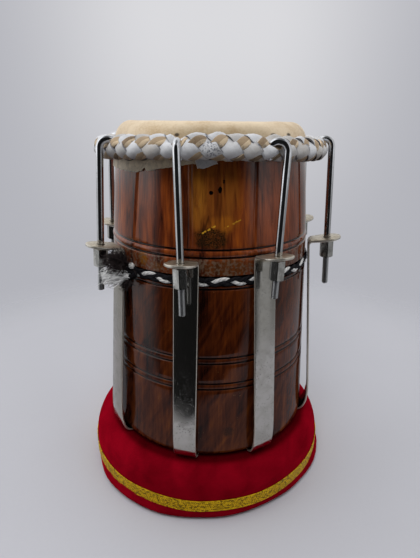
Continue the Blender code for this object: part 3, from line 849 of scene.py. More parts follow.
def makeMainSkin(mat):
    low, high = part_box("main_skin")
    rounding = 0.0002
    rings = 24
    inner = high.x - rounding
    profile = [(0.0, low.z), (high.x, low.z), (high.x, high.z - rounding)]
    profile += [(inner * (1.0 - i / rings), high.z) for i in range(rings)]
    profile.append((0.0, high.z))
    mesh = turnedMesh("mainSkin", profile, 96, None, 60.0)
    return addPiece("mainSkin", mesh, mat, "drum", "cream", "main_skin")


rimHide = makeHide("rimHide", hideSettings["pale"], hideSettings["deep"], hideSettings, True)
mainHide = makeHide("mainHide", hideSettings["main"], hideSettings["mainDeep"], hideSettings, False)
makeRimSkin(rimHide)
makeMainSkin(mainHide)
makePaste(makePasteFinish(pasteSettings))
setFinish(frame["nodes"]["lining_skin"].data, mainHide)
print("head done")


# tuning hardware: each tuner's frame comes from its nut's joint
def tunerFrames():
    frames = []
    for joint in frame["joints"]:
        if joint["name"].startswith("nut_turn"):
            up = -Vector(joint["axis"])
            hole = Vector(joint["pos_m"])
            outward = Vector((hole.x, hole.y, 0.0)).normalized()
            outward = (outward - up * outward.dot(up)).normalized()
            axes = Matrix((outward, up.cross(outward), up)).transposed().to_4x4()
            frames.append(Matrix.Translation(hole) @ axes)
    return frames


tuners = tunerFrames()
tunerTurns = [math.atan2(place.translation.x, -place.translation.y) for place in tuners]

# for each tuner: twist of its hook in degrees, lift of its lug, rod length below its nut, turn of the nut
tunerRows = (
    (8.0, 0.0, 0.0210, 30.0),
    (44.0, 0.0028, 0.0140, 0.0),
    (-20.0, -0.0010, 0.0245, 12.0),
    (6.0, 0.0010, 0.0190, 40.0),
    (-10.0, 0.0, 0.0205, 20.0),
    (12.0, 0.0015, 0.0180, 5.0),
    (-6.0, -0.0025, 0.0215, 50.0),
    (-15.0, 0.0010, 0.0205, 25.0),
)

nutSettings = {
    "flat": 0.0050,               # half across flats
    "bore": 0.0031,
    "top": -0.0020,
    "length": 0.0142,
    "chamferSlope": 0.60,
    "faceShare": 0.985,           # radius of the round face at either end, in half flats
    "cornerShare": 1.145,         # and of the corners
    "boreChamfer": 0.0004,
    "steps": 72,
}

hookSettings = {
    "rodRadius": 0.0027,
    "bendRadius": 0.0062,
    "bendCentreUp": 0.0735,
    "tip": 0.0060,
    "threadTop": 0.0004,
    "pitch": 0.0010,
    "threadDepth": 0.00042,
    "threadInset": 0.00005,
    "chamfer": 0.0006,
    "tipRounding": 0.0007,
    "sides": 20,
    "straightRings": 14,
    "bendRings": 20,
}


def hookMesh(lift, spare):
    s = hookSettings
    sides = s["sides"]
    rings = []                    # centre, outward direction, radius, thread share
    bottom = nutSettings["top"] - nutSettings["length"] - spare
    bendUp = s["bendCentreUp"] - lift
    height = bottom
    step = s["pitch"] / 4
    while height < s["threadTop"]:
        inset = max(0.0, s["chamfer"] - (height - bottom))
        rings.append(((0.0, height), (1.0, 0.0), s["rodRadius"] - s["threadInset"] - inset, 1.0))
        height += step
    rings.append(((0.0, s["threadTop"] + 0.0002), (1.0, 0.0), s["rodRadius"] - 0.0001, 0.0))
    for i in range(s["straightRings"]):
        share = (i + 0.4) / s["straightRings"]
        up = s["threadTop"] + (bendUp - s["threadTop"]) * share
        rings.append(((0.0, up), (1.0, 0.0), s["rodRadius"], 0.0))
    for i in range(s["bendRings"] + 1):
        turn = math.pi * i / s["bendRings"]
        outward = (math.cos(turn), math.sin(turn))
        centre = (-s["bendRadius"] + s["bendRadius"] * outward[0], bendUp + s["bendRadius"] * outward[1])
        rings.append((centre, outward, s["rodRadius"], 0.0))
    tipX = -2.0 * s["bendRadius"]
    for drop, inset in ((0.5, 0.0), (0.9, 0.0), (1.0, s["tipRounding"])):
        rings.append(((tipX, bendUp - s["tip"] * drop), (-1.0, 0.0), s["rodRadius"] - inset, 0.0))
    verts = []
    threads = []
    for (x, z), (ox, oz), radius, thread in rings:
        for j in range(sides):
            turn = math.tau * j / sides
            reach = radius
            if thread:
                phase = (z / s["pitch"] - j / sides) % 1.0
                reach -= s["threadDepth"] * abs(2.0 * phase - 1.0)
            across = reach * math.cos(turn)
            verts.append((x + ox * across, reach * math.sin(turn), z + oz * across))
            threads.append(1.0 if z < s["threadTop"] and x == 0.0 else 0.0)
    mesh = meshFrom("hook", verts, gridFaces(len(rings), sides) + endFaces(len(rings), sides), 50.0)
    addValues(mesh, "thread", threads)
    return mesh


def nutMesh():
    s = nutSettings
    steps = s["steps"]
    top = s["top"]
    low = top - s["length"]
    face = s["flat"] * s["faceShare"]
    bore = s["bore"]
    edge = s["boreChamfer"]
    verts = []
    for i in range(steps):
        turn = math.tau * i / steps
        local = (turn + math.pi / 6) % (math.pi / 3) - math.pi / 6
        reach = min(s["flat"] / math.cos(local), s["flat"] * s["cornerShare"])
        cut = max(0.0, reach - face) * s["chamferSlope"]
        upper = [(bore, top - edge), (bore + edge, top), (face, top), (reach, top - cut)]
        lower = [(reach, low + cut), (face, low), (bore + edge, low), (bore, low + edge)]
        for radius, height in upper + lower:
            verts.append((radius * math.cos(turn), radius * math.sin(turn), height))
    return meshFrom("nut", verts, gridFaces(steps, 8, True), 18.0)


strapSettings = {
    "thick": 0.0020,
    "half": 0.0095,
    "lugRadius": 0.0114,
    "lugTilt": 10.0,
    "topBend": 0.0035,
    "cordSide": 0.0885,           # middle of the bar at the cord
    "footUp": -0.0013,
    "footEnd": 0.0629,
    "standoff": 0.0065,
    "standoffUp": 0.0200,
    "turnUp": 0.0320,             # where the bar starts to turn in to its foot, above the corner
    "turnIn": 0.0125,
    "holeRadius": 0.0032,
    "bevel": 0.00075,
    "bevelShare": 0.8,            # of the half width, where the lug's tip is narrow
    "cutEdge": (0.15, 0.9),       # bevels from the side where the cut metal starts to show less, and ends
    "worn": (8,),                 # straps with a rougher plating whose darker, warmer colour is painted dim reflection
}


def roundCorner(before, corner, after, radius, steps):
    before, corner, after = Vector(before), Vector(corner), Vector(after)
    inDirection = (before - corner).normalized()
    outDirection = (after - corner).normalized()
    half = inDirection.angle(outDirection) / 2
    middle = (inDirection + outDirection).normalized()
    centre = corner + middle * (radius / math.sin(half))
    first = corner + inDirection * (radius / math.tan(half)) - centre
    last = corner + outDirection * (radius / math.tan(half)) - centre
    sweep = first.angle_signed(last)
    points = []
    for i in range(steps + 1):
        spin = Matrix.Rotation(-sweep * i / steps, 2)
        points.append(tuple(centre + spin @ first))
    return points


def easedCorner(before, corner, after, runIn, runOut, steps):
    before, corner, after = Vector(before), Vector(corner), Vector(after)
    back = (before - corner).normalized() * runIn
    on = (after - corner).normalized() * runOut
    points = []
    for i in range(steps + 1):
        share = i / steps
        points.append(tuple(corner + back * (1.0 - share) ** 2 + on * share ** 2))
    return points


def strapLine(hole, tilt):
    # side view of the bar, as points with a half width: it leans out to the foot, and its lug tilts up
    # to the rod's hole; with it the height of the bend and the point where the lug has become the bar
    s = strapSettings
    rise = math.tan(tilt)
    cordUp = shellSettings["cordUp"]
    baseSide = shellRadius(s["standoffUp"]) + s["standoff"] + s["thick"] / 2
    slope = (baseSide - s["cordSide"]) / (cordUp - s["standoffUp"])
    topRadius = (s["cordSide"] + slope * (cordUp - hole[1] + hole[0] * rise)) / (1.0 + slope * rise)
    top = (topRadius, hole[1] + (topRadius - hole[0]) * rise)
    low = (s["cordSide"] + slope * (cordUp - s["footUp"]), s["footUp"])
    end = (s["footEnd"], s["footUp"])
    narrow = roundCorner(hole, top, low, s["topBend"], 8)
    bottom = easedCorner(top, low, end, s["turnUp"], s["turnIn"], 20)

    def between(start, finish, steps):
        for i in range(1, steps):
            share = i / steps
            x = start[0] + (finish[0] - start[0]) * share
            yield x, start[1] + (finish[1] - start[1]) * share, share

    line = []
    noseSteps = 24
    for i in range(1, noseSteps + 1):
        side = math.radians(90.0 * (i / noseSteps) ** 1.15)
        reach = s["lugRadius"] * math.cos(side)
        half = s["lugRadius"] * math.sin(side)
        line.append((hole[0] + reach * math.cos(tilt), hole[1] + reach * math.sin(tilt), half))
    for x, z, share in between(hole, narrow[0], 6):
        half = s["lugRadius"] + (s["half"] - s["lugRadius"]) * smoothStep(share, 0.0, 1.0)
        line.append((x, z, half))
    bar = narrow + [(x, z) for x, z, share in between(narrow[-1], bottom[0], 12)] + bottom + [end]
    line += [(x, z, s["half"]) for x, z in bar]
    return line, top[1], narrow[0]


def strapMesh(place):
    s = strapSettings
    hole = (math.hypot(place.translation.x, place.translation.y), place.translation.z - shellBase)
    tilt = math.radians(s["lugTilt"])
    line, bendUp, neck = strapLine(hole, tilt)
    section = []
    for side in (1.0, -1.0):
        for i in range(7):
            section.append((side, side * math.radians(90.0 - 30.0 * i)))
    verts = []
    for i, (x, z, half) in enumerate(line):
        before = line[max(i - 1, 0)]
        after = line[min(i + 1, len(line) - 1)]
        run = Vector((after[0] - before[0], after[1] - before[1])).normalized()
        fromTip = math.hypot(x - line[0][0], z - line[0][1])
        nose = math.sqrt(1.0 - (1.0 - min(1.0, (fromTip + 0.00005) / s["bevel"])) ** 2)
        for side, turn in section:
            deep = nose * s["thick"] / 2 * math.sin(turn)
            bevel = min(s["bevel"], half * s["bevelShare"])
            wide = side * (half - bevel + bevel * math.cos(turn))
            verts.append((x - run.y * deep, wide, shellBase + z + run.x * deep))
    size = len(section)
    faces = gridFaces(len(line), size) + endFaces(len(line), size)
    blank = linkMesh("strapBlank", meshFrom("strapBlank", verts, faces))
    end = 0.006                       # the drill reaches this far to either side
    holeProfile = [(0.0, -end), (s["holeRadius"], -end), (s["holeRadius"], end), (0.0, end)]
    drill = linkMesh("drill", turnedMesh("drill", holeProfile, 40))
    centre = Matrix.Translation((hole[0], 0.0, shellBase + hole[1]))
    drill.matrix_world = centre @ Matrix.Rotation(-tilt, 4, "Y")
    drilled = blank.modifiers.new("rodHole", "BOOLEAN")
    drilled.object = drill
    drilled.solver = "EXACT"
    mesh = bakedMesh(blank)
    bpy.data.objects.remove(blank)
    bpy.data.objects.remove(drill)
    mesh.shade_smooth()
    mesh.set_sharp_from_angle(angle=math.radians(40.0))
    near, far = [s["bevel"] * share for share in s["cutEdge"]]
    cuts = []
    for vert in mesh.vertices:
        x, y, z = vert.co
        inside = s["half"] - abs(y)
        if z - shellBase > bendUp - s["topBend"]:
            inside = s["lugRadius"] - math.hypot(max(0.0, x - hole[0]) / math.cos(tilt), y)
            share = smoothStep((hole[0] - x) / (hole[0] - neck[0]), 0.0, 1.0)
            inside -= (s["lugRadius"] - s["half"]) * share
        cuts.append(1.0 - smoothStep(inside, near, far))
    addValues(mesh, "cut", cuts)
    return mesh


def turnedCopy(mesh, name, matrix):
    copy = mesh.copy()
    copy.name = name
    copy.transform(matrix)
    return copy


metalSettings = {
    # colour, stain, amount of pits, roughness where smooth and where dull
    "chrome": ((0.61, 0.62, 0.645), (0.52, 0.52, 0.535), 0.3, 0.06, 0.13),
    "zinc": ((0.52, 0.515, 0.50), (0.30, 0.298, 0.285), 1.0, 0.10, 0.22),
    "nickel": ((0.470, 0.455, 0.425), (0.405, 0.390, 0.358), 1.0, 0.09, 0.18),
    # darker and warmer than the nickel: painted dim reflection, with a rougher finish
    "worn": ((0.355, 0.332, 0.298), (0.305, 0.286, 0.252), 1.0, 0.14, 0.24),
    "screw": ((0.55, 0.53, 0.48), (0.30, 0.27, 0.22), 0.8, 0.30, 0.50),
    "pitScale": 520.0,
    "stainScale": 120.0,
    "pit": (0.10, 0.095, 0.09),
    "thread": (0.27, 0.275, 0.28),
    "tarnish": (0.56, 0.490, 0.370),
    "tarnishDark": (0.30, 0.245, 0.160),
    "tarnishUp": (0.1655, 0.1690),        # heights where the lug's tarnish starts and is full
    "cutEdge": (0.56, 0.525, 0.460),
}


def makeMetal(name, look, hasThread=False, hasTarnish=False):
    s = metalSettings
    plain, stain, pits, smooth, dull = s[look]
    mat, tree, shader = newMaterial(name, Metallic=1.0)
    place = objectOut(tree)
    values = {"Place": place, "Pit Scale": s["pitScale"], "Pit Amount": pits, "Stain Scale": s["stainScale"]}
    values.update({"Smooth": smooth, "Dull": dull})
    wear = placeGroup(tree, metalWear, values)
    colour = mixOut(tree, wear["Stain"], plain, stain)
    colour = mixOut(tree, timesOut(tree, wear["Pits"], 0.75), colour, s["pit"])
    rough = wear["Roughness"]
    if hasThread:
        thread = valueOut(tree, "thread")
        colour = mixOut(tree, thread, colour, s["thread"])
        rough = mathOut(tree, "ADD", rough, timesOut(tree, thread, 0.25))
    if hasTarnish:
        low, high = [shellBase + up for up in s["tarnishUp"]]
        lug = rangeOut(tree, axisOut(tree, place, "Z"), low, high, 0.0, 0.85, True)
        blotch = rangeOut(tree, noiseOut(tree, place, 420.0, 4.0, 0.65), 0.36, 0.62)
        colour = mixOut(tree, lug, colour, mixOut(tree, blotch, s["tarnishDark"], s["tarnish"]))
        cut = valueOut(tree, "cut")
        colour = mixOut(tree, cut, colour, s["cutEdge"])
        dulled = mathOut(tree, "MAXIMUM", lug, timesOut(tree, cut, 0.85))
        rough = mathOut(tree, "ADD", rough, timesOut(tree, dulled, 0.26))
        feed(tree, shader, metal=rangeOut(tree, dulled, 0.0, 0.85, 1.0, 0.72))
    feed(tree, shader, colour=colour, rough=rough, normal=bumpOut(tree, wear["Pits"], -0.00008, 0.6))
    return mat


def makeTuners():
    chrome = makeMetal("rodChrome", "chrome", hasThread=True)
    zinc = makeMetal("nutZinc", "zinc")
    nickel = makeMetal("strapNickel", "nickel", hasTarnish=True)
    worn = makeMetal("strapDimReflection", "worn", hasTarnish=True)
    steel = makeMetal("screwSteel", "screw")
    nut = nutMesh()
    for i, place in enumerate(tuners):
        number = i + 1
        twist, lift, spare, nutTurn = tunerRows[i]
        hook = hookMesh(lift, spare)
        hook.transform(place @ Matrix.Rotation(math.radians(twist), 4, "Z"))
        addPiece(f"hook{number}", hook, chrome, f"hook_{number}", "rod", f"hook_{number}")
        ownNut = turnedCopy(nut, "nut", place @ Matrix.Rotation(math.radians(nutTurn), 4, "Z"))
        addPiece(f"nut{number}", ownNut, zinc, f"nut_{number}", "nut", f"nut_{number}")
        strap = strapMesh(place)
        strap.transform(Matrix.Rotation(tunerTurns[i] - math.pi / 2, 4, "Z"))
        # the straps listed under worn get the darker plating that is painted dim reflection
        plating = worn if number in strapSettings["worn"] else nickel
        addPiece(f"strap{number}", strap, plating, "drum", "strap", f"strap_{number}")
        setFinish(frame["nodes"][f"screw_{number}"].data, steel)


makeTuners()
print("tuning hardware done")


# plaited leather rim: two families of strips woven round a ring
plaitSettings = {
    "middleUp": 0.2473,
    "innerRadius": 0.0797,
    "width": 0.0153,
    "topHeight": 0.0084,          # above and below the middle
    "lowHeight": 0.0084,
    "across": 43,                 # strips of one colour round the ring
    "wraps": 3.5,                 # crossings round the section
    "shear": 0.22,                # leans the white strips steeper and the tan ones flatter
    "slide": -0.14,               # moves the rows down the face, in crossings
    "over": 0.42,                 # keeps the white strips on top for longer, and a little lower
    "overShift": 0.06,
    "sag": 0.0046,                # the ring hangs lower at its two sides
    "uneven": 0.0016,             # and its top is not level
    "inset": 0.0016,              # of the strips' middle line, and of the core below it
    "white": {"half": 0.00545, "thick": 0.0013, "wave": 0.00095, "puff": 0.00018, "ragged": 0.22, "cut": 1.0},
    "tan": {"half": 0.00310, "thick": 0.0024, "wave": 0.00100, "puff": 0.00005, "ragged": 0.30, "cut": 0.10},
    "spread": (-1.0, -0.86, -0.45, 0.0, 0.12, 0.50, 0.86, 1.0),   # points across a strip
    "shift": 0.11,                # most that a strip is out of line, in crossings
    "tilt": 0.00050,              # and most that its edges are raised
    "samples": 48,
    "hookReach": 0.0031,
    "hookDepth": 0.0056,          # of the dent under a hook, least at the sides
    "hookLeast": 0.0012,
    "hookNear": 0.024,            # no dent further than this from the rod
    "ripple": 0.00014,
    "sliceDepth": 0.42,           # share of the thickness that a cut side loses
    "seed": 11,
}


def sectionTable(a, low, high, steps=720):
    # equal steps round the section, so the crossings keep one size
    lengths = [0.0]
    for i in range(steps):
        t0 = math.tau * i / steps
        t1 = math.tau * (i + 1) / steps
        b = high if math.sin((t0 + t1) / 2) > 0.0 else low
        step = math.hypot(a * (math.cos(t1) - math.cos(t0)), b * (math.sin(t1) - math.sin(t0)))
        lengths.append(lengths[-1] + step)
    return [length / lengths[-1] for length in lengths], lengths[-1]


def hookLines():
    # plan view of each hook, from its rod to its tip
    lines = []
    for place, row in zip(tuners, tunerRows):
        twist, lift = row[:2]
        turned = place @ Matrix.Rotation(math.radians(twist), 4, "Z")
        height = hookSettings["bendCentreUp"] - lift
        rod = turned @ Vector((0.0, 0.0, height))
        tip = turned @ Vector((-2.0 * hookSettings["bendRadius"], 0.0, height))
        sideways = rod.x * rod.x / (rod.x * rod.x + rod.y * rod.y)
        depth = max(plaitSettings["hookLeast"], plaitSettings["hookDepth"] - plaitSettings["sag"] * sideways)
        lines.append((rod.to_2d(), tip.to_2d(), depth))
    return lines


def makePlait(whiteMat, tanMat, coreMat):
    s = plaitSettings
    draw = random.Random(s["seed"])
    inset = s["inset"]
    a = s["width"] / 2 - inset
    high = s["topHeight"] - inset
    low = s["lowHeight"] - inset
    ringRadius = s["innerRadius"] + s["width"] / 2
    middle = shellBase + s["middleUp"]
    shares, perimeter = sectionTable(a, low, high)
    unitU = math.tau * ringRadius / s["across"]
    unitV = perimeter / s["wraps"]
    hooks = hookLines()

    def sectionTurn(v):
        share = (v / s["wraps"]) % 1.0
        first, last = 0, len(shares) - 1
        while last - first > 1:
            mid = (first + last) // 2
            if shares[mid] <= share:
                first = mid
            else:
                last = mid
        part = (share - shares[first]) / (shares[last] - shares[first])
        return math.tau * (first + part) / (len(shares) - 1)

    def hookDent(spot):
        dent = 0.0
        for rod, tip, depth in hooks:
            if (spot - rod).length < s["hookNear"]:
                run = tip - rod
                along = max(0.0, min(1.0, (spot - rod).dot(run) / run.length_squared))
                away = (spot - rod - run * along).length
                dent = max(dent, depth * math.exp(-(away / s["hookReach"]) ** 2))
        return dent

    def ringPoint(u, v, lift):
        turn = math.tau * u / s["across"]
        psi = sectionTurn(v)
        top = math.sin(psi)
        outer = math.cos(psi)
        b = high if top > 0.0 else low
        normal = Vector((outer / a, top / b)).normalized()
        radius = max(ringRadius + a * outer + normal.x * lift, s["innerRadius"])
        height = middle + b * top + normal.y * lift
        spot = Vector((radius * math.sin(turn), -radius * math.cos(turn)))
        height -= hookDent(spot) * smoothStep(top, -0.15, 0.60) + s["sag"] * math.sin(turn) ** 2
        wander = noise.noise(Vector((spot.x * 80.0, spot.y * 80.0, 2.0)))
        height += s["uneven"] * wander * smoothStep(top, 0.1, 0.8)
        return onCircle(turn, radius, height)

    def strip(start, lean, look, phase, shift, tilt):
        # once round the section; lean is the change of u for each crossing
        run = Vector((lean * unitU, unitV))
        side = Vector((run.y, -run.x)).normalized()
        spread = s["spread"]
        isCut = look["cut"] < 1.0
        verts = []
        across = []
        for i in range(s["samples"] + 1):
            t = s["wraps"] * (i / s["samples"] - 0.5)
            wave = (math.cos(math.tau * (t + s["overShift"])) + s["over"]) * phase
            wander = noise.noise(Vector((start * 7.3, t * 1.7, phase * 5.0)))
            own = look["half"] * (1.0 + look["ragged"] * wander)
            for layer, row in ((0.5, spread), (-0.5, spread[::-1])):
                for w in row:
                    offset = side * (w * own)
                    lift = look["wave"] * wave
                    if wave > 0.0:
                        lift += look["puff"] * wave * (1.0 - 2.2 * w * w)
                    lift += tilt * w + s["ripple"] * noise.noise(Vector((start * 3.1 + w, t * 4.0, 2.0)))
                    lift += look["thick"] * layer * (1.0 - 0.22 * abs(w) ** 8)
                    sliced = max(0.0, (w - look["cut"]) / (1.0 - look["cut"])) if isCut else 0.0
                    if layer > 0.0:
                        lift -= look["thick"] * s["sliceDepth"] * sliced
                    u = start + shift + lean * t + offset.x / unitU
                    verts.append(ringPoint(u, t + s["slide"] + offset.y / unitV, lift))
                    # picks the edge colour: painted shade along each strip's edges and over its underside,
                    # and on the tan strips also their pale cut side
                    cutAndShade = abs(w)
                    if isCut:
                        cutAndShade = 0.76 + 0.26 * sliced if sliced else 0.66 * w * w + 0.5 * max(0.0, -w - 0.7)
                    across.append(cutAndShade if layer > 0.0 else 1.2)
        rows = s["samples"] + 1
        size = 2 * len(spread)
        return verts, gridFaces(rows, size) + endFaces(rows, size), across

    def addStrips(name, mat, verts, faces, edges, tones, sharpAngle=None):
        mesh = meshFrom(name, verts, faces, sharpAngle)
        addValues(mesh, "edge", edges)
        addValues(mesh, "tone", tones)
        addPiece(name, mesh, mat, "drum", "plait", "plaited_rim")

    families = (
        ("plaitWhite", -1.0 + s["shear"], s["white"], 1.0, whiteMat),
        ("plaitTan", 1.0 + s["shear"], s["tan"], -1.0, tanMat),
    )
    for name, lean, look, phase, mat in families:
        parts = []
        edges = []
        tones = []
        for i in range(s["across"]):
            tone = draw.random()
            shift = draw.uniform(-s["shift"], s["shift"])
            tilt = draw.uniform(-s["tilt"], s["tilt"])
            verts, faces, across = strip(i, lean, look, phase, shift, tilt)
            parts.append((verts, faces))
            edges.extend(across)
            tones.extend([tone] * len(verts))
        addStrips(name, mat, *joinParts(parts), edges, tones, 50.0)
    # core under the strips, dark so that the gaps show painted shade with grime
    steps = 215
    sides = 20
    verts = []
    for i in range(steps):
        for j in range(sides):
            verts.append(ringPoint(s["across"] * i / steps, s["wraps"] * j / sides, -inset))
    plain = [0.0] * len(verts)
    addStrips("plaitCore", coreMat, verts, gridFaces(steps, sides, True), plain, [0.5] * len(verts))


leatherSettings = {
    # pale, deep and edge colours, and the share of the half width where the edge starts; the dark edge colour
    # of the white and tan strips is painted shade where one strip meets the next, the grey flap's pale one
    # its cut edge
    "white": ((0.705, 0.712, 0.738), (0.565, 0.535, 0.505), (0.15, 0.15, 0.17), 0.95),
    "tan": ((0.430, 0.317, 0.204), (0.215, 0.147, 0.088), (0.100, 0.066, 0.040), 1.00),
    # the core shows only in the gaps between strips: its dark colour is painted shade with grime
    "core": ((0.035, 0.028, 0.024), (0.035, 0.028, 0.024), (0.035, 0.028, 0.024), 0.9),
    "grey": ((0.66, 0.66, 0.68), (0.44, 0.44, 0.46), (0.86, 0.83, 0.78), 0.80),
    "tanCut": (0.86, 0.680, 0.465),       # pale cut side of the thick strips
    "darkening": 0.76,                      # how much darker the plait's top is
    "darkeningUp": (0.0100, 0.0150),        # between these heights over its foot
    "under": (0.34, 0.29, 0.25),          # painted shade: tint where the plait turns under
    "underShadeUp": (-0.002, 0.005),
    "ink": (0.022, 0.034, 0.070),
    # centre, reach, feather, ragged and ragged scale of a grubby patch
    "grubby": ((0.0012, -0.0940, 0.2955), (0.0062, 0.0060, 0.0055), 0.2, 0.5, 200.0),
}


def makeLeather(key, cutColour=None, turnsUnder=True):
    s = leatherSettings
    pale, deep, edgeColour, edgeStart = s[key]
    mat, tree, shader = newMaterial(key + "Leather", **{"Specular IOR Level": 0.30})
    place = objectOut(tree)
    grain = mottled(tree, place, 160.0, 1300.0, 0.5)
    tone = weightedOut(tree, (valueOut(tree, "tone"), 0.5), (grain["Tone"], 0.7))
    palest = tuple(c * 1.14 for c in pale)
    colour = rampOut(tree, tone, ((0.32, deep), (0.62, pale), (0.82, palest)))
    flecks = rangeOut(tree, cellsOut(tree, place, 900.0), 0.08, 0.20, 0.55, 0.0, True)
    flecks = timesOut(tree, flecks, rangeOut(tree, grain["Tone"], 0.45, 0.62))
    colour = mixOut(tree, flecks, colour, deep)
    # the edge value with some grain; it places the pale cut side, the painted shade along strip edges and
    # undersides, and the ink
    worn = mathOut(tree, "ADD", valueOut(tree, "edge"), timesOut(tree, grain["Grain"], 0.12))
    if cutColour:
        colour = mixOut(tree, rangeOut(tree, worn, 0.76, 0.84, 0.0, 0.85, True), colour, cutColour)
    # painted shade along the strips' edges and undersides (on the grey flap its pale cut edge)
    colour = mixOut(tree, rangeOut(tree, worn, edgeStart, 1.08, 0.0, 0.9, True), colour, edgeColour)
    inked = rangeOut(tree, noiseOut(tree, place, 95.0, 3.0, 0.6), 0.56, 0.64)
    inked = timesOut(tree, inked, rangeOut(tree, worn, 0.74, 0.98))
    colour = mixOut(tree, timesOut(tree, inked, 0.85), colour, s["ink"])
    marks = rangeOut(tree, noiseOut(tree, place, 760.0, 4.0, 1.0), 0.50, 0.62, 0.0, 0.8)
    marks = timesOut(tree, marks, spotOut(tree, place, *s["grubby"]))
    colour = mixOut(tree, marks, colour, s["ink"])
    if turnsUnder:
        height = axisOut(tree, place, "Z")
        sunk = shellBase + plaitSettings["middleUp"] - plaitSettings["lowHeight"]
        low, high = [sunk + up for up in s["darkeningUp"]]
        colour = tintOut(tree, colour, rangeOut(tree, height, low, high, 1.0, s["darkening"], True))
        # painted shade where the plait turns under at its foot
        low, high = [sunk + up for up in s["underShadeUp"]]
        under = rangeOut(tree, height, low, high, 0.9, 0.0, True)
        colour = mixOut(tree, under, colour, tintOut(tree, colour, s["under"]))
    rough = rangeOut(tree, grain["Tone"], 0.3, 0.7, 0.52, 0.72)
    feed(tree, shader, colour=colour, rough=rough, normal=bumpOut(tree, grain["Grain"], 0.00030, 0.7))
    return mat


makePlait(makeLeather("white"), makeLeather("tan", leatherSettings["tanCut"]), makeLeather("core"))

flapSettings = {
    "from": -7.5,                 # degrees round the drum
    "to": 2.0,
    "skew": 1.6,                  # further round at its free edge
    "topUp": 0.2400,
    "lowUp": (0.2333, 0.2364),    # left and right corners of its free edge
    "off": 0.0019,
    "curl": 0.0011,
    "ragged": 0.0004,
    "thick": 0.0011,
    "columns": 18,
    "rows": 10,
}


def makeFlap(mat):
    # loose end of a strip that hangs below the plait
    s = flapSettings
    columns = s["columns"]
    rows = s["rows"]
    left, right = s["lowUp"]
    verts = []
    edges = []
    for layer in (1.0, 0.0):
        for i in range(columns + 1):
            share = i / columns
            low = left + (right - left) * smoothStep(share, 0.25, 1.0)
            low += s["ragged"] * noise.noise(Vector((share * 6.0, 1.0, 0.0)))
            for j in range(rows + 1):
                drop = j / rows
                up = s["topUp"] + (low - s["topUp"]) * drop
                turn = math.radians(s["from"] + (s["to"] - s["from"]) * share + s["skew"] * drop)
                curl = s["curl"] * drop * drop * (0.6 + 0.4 * math.cos(share * 5.0))
                radius = shellRadius(up) + s["off"] + curl + s["thick"] * layer
                verts.append(onCircle(turn, radius, shellBase + up))
                edges.append(max(abs(2.0 * share - 1.0) ** 3, drop ** 6) if layer else 1.0)
    size = rows + 1
    back = (columns + 1) * size
    faces = gridFaces(columns + 1, size, closedLoop=False)
    faces += gridFaces(columns + 1, size, closedLoop=False, start=back)
    rim = [i * size for i in range(columns + 1)]
    rim += [columns * size + j for j in range(1, rows + 1)]
    rim += [i * size + rows for i in range(columns - 1, -1, -1)]
    rim += list(range(rows - 1, 0, -1))
    for i, here in enumerate(rim):
        there = rim[(i + 1) % len(rim)]
        faces.append((here, there, back + there, back + here))
    mesh = meshFrom("looseEnd", verts, faces, 60.0)
    addValues(mesh, "edge", edges)
    addValues(mesh, "tone", [0.15] * len(verts))
    return addPiece("looseEnd", mesh, mat, "drum", "plait")


makeFlap(makeLeather("grey", turnsUnder=False))
print("plaited rim done")


# braided waist cord with its knot and tufts
cordSettings = {
    "radius": 0.0859,
    "periods": 19,
    "phase": -0.69,
    "swing": 0.00205,
    "dip": 0.00052,
    "halfWidth": 0.00150,
    "halfDepth": 0.00098,
    "samplesPerPeriod": 28,
    "sides": 10,
    "knotTurn": -41.0,
    "knotOut": 0.0050,
}


def setTwist(mesh, along, sides):
    # what the yarn's plies are drawn from
    addValues(mesh, "along", along)
    addValues(mesh, "round", [(i % sides) / sides for i in range(len(along))])


def strandMesh(name, k):
    s = cordSettings
    count = s["periods"] * s["samplesPerPeriod"]
    points = []
    sizes = []
    for i in range(count):
        turn = math.tau * i / count
        phase = s["phase"] + math.tau * s["periods"] * i / count + math.tau * k / 3
        radius = s["radius"] + s["dip"] * math.sin(2.0 * phase)
        height = shellBase + shellSettings["cordUp"] + s["swing"] * math.sin(phase)
        points.append(onCircle(turn, radius, height))
        swell = 1.0 + 0.06 * noise.noise(Vector((i * 0.13, k * 9.0, 0.0)))
        sizes.append((s["halfWidth"] * swell, s["halfDepth"] * swell))
    uphill = [(0.0, 0.0, 1.0)] * count
    verts, faces, shares = tubeParts(points, sizes, s["sides"], True, uphill)
    mesh = meshFrom(name, verts, faces)
    setTwist(mesh, [share * s["periods"] for share in shares], s["sides"])
    return mesh


yarnSettings = {
    "black": ((0.004, 0.004, 0.0050), (0.016, 0.015, 0.018)),
    "white": ((0.46, 0.46, 0.46), (0.86, 0.85, 0.83)),
    "frayed": ((0.0012, 0.0010, 0.0014), (0.058, 0.044, 0.043)),
    "frayedWhite": ((0.86, 0.86, 0.87), (0.97, 0.97, 0.96)),
}


def makeYarn(name, shades):
    mat, tree, shader = newMaterial(name, **{"Specular IOR Level": 0.15})
    place = objectOut(tree)
    values = {"Place": place, "Along": valueOut(tree, "along"), "Round": valueOut(tree, "round")}
    values.update({"Plies": 3.0, "Turns": 2.6})
    twist = placeGroup(tree, yarnTwist, values)
    soil = mottled(tree, place, 140.0, 1500.0, 0.5)
    tone = timesOut(tree, twist["Tone"], rangeOut(tree, soil["Tone"], 0.3, 0.7, 0.65, 1.1))
    colour = rampOut(tree, tone, ((0.30, shades[0]), (0.95, shades[1])))
    rough = rangeOut(tree, soil["Grain"], 0.3, 0.7, 0.75, 0.95)
    feed(tree, shader, colour=colour, rough=rough, normal=bumpOut(tree, twist["Height"], 0.0004, 0.7))
    return mat


def cordPoint(out, side, up):
    # outwards, sideways and up from the knot's middle
    s = cordSettings
    radius = s["radius"] + s["knotOut"] + out
    turn = math.radians(s["knotTurn"])
    base = Vector(onCircle(turn, radius, shellBase + shellSettings["cordUp"] + up))
    return base + Vector((math.cos(turn), math.sin(turn), 0.0)) * side


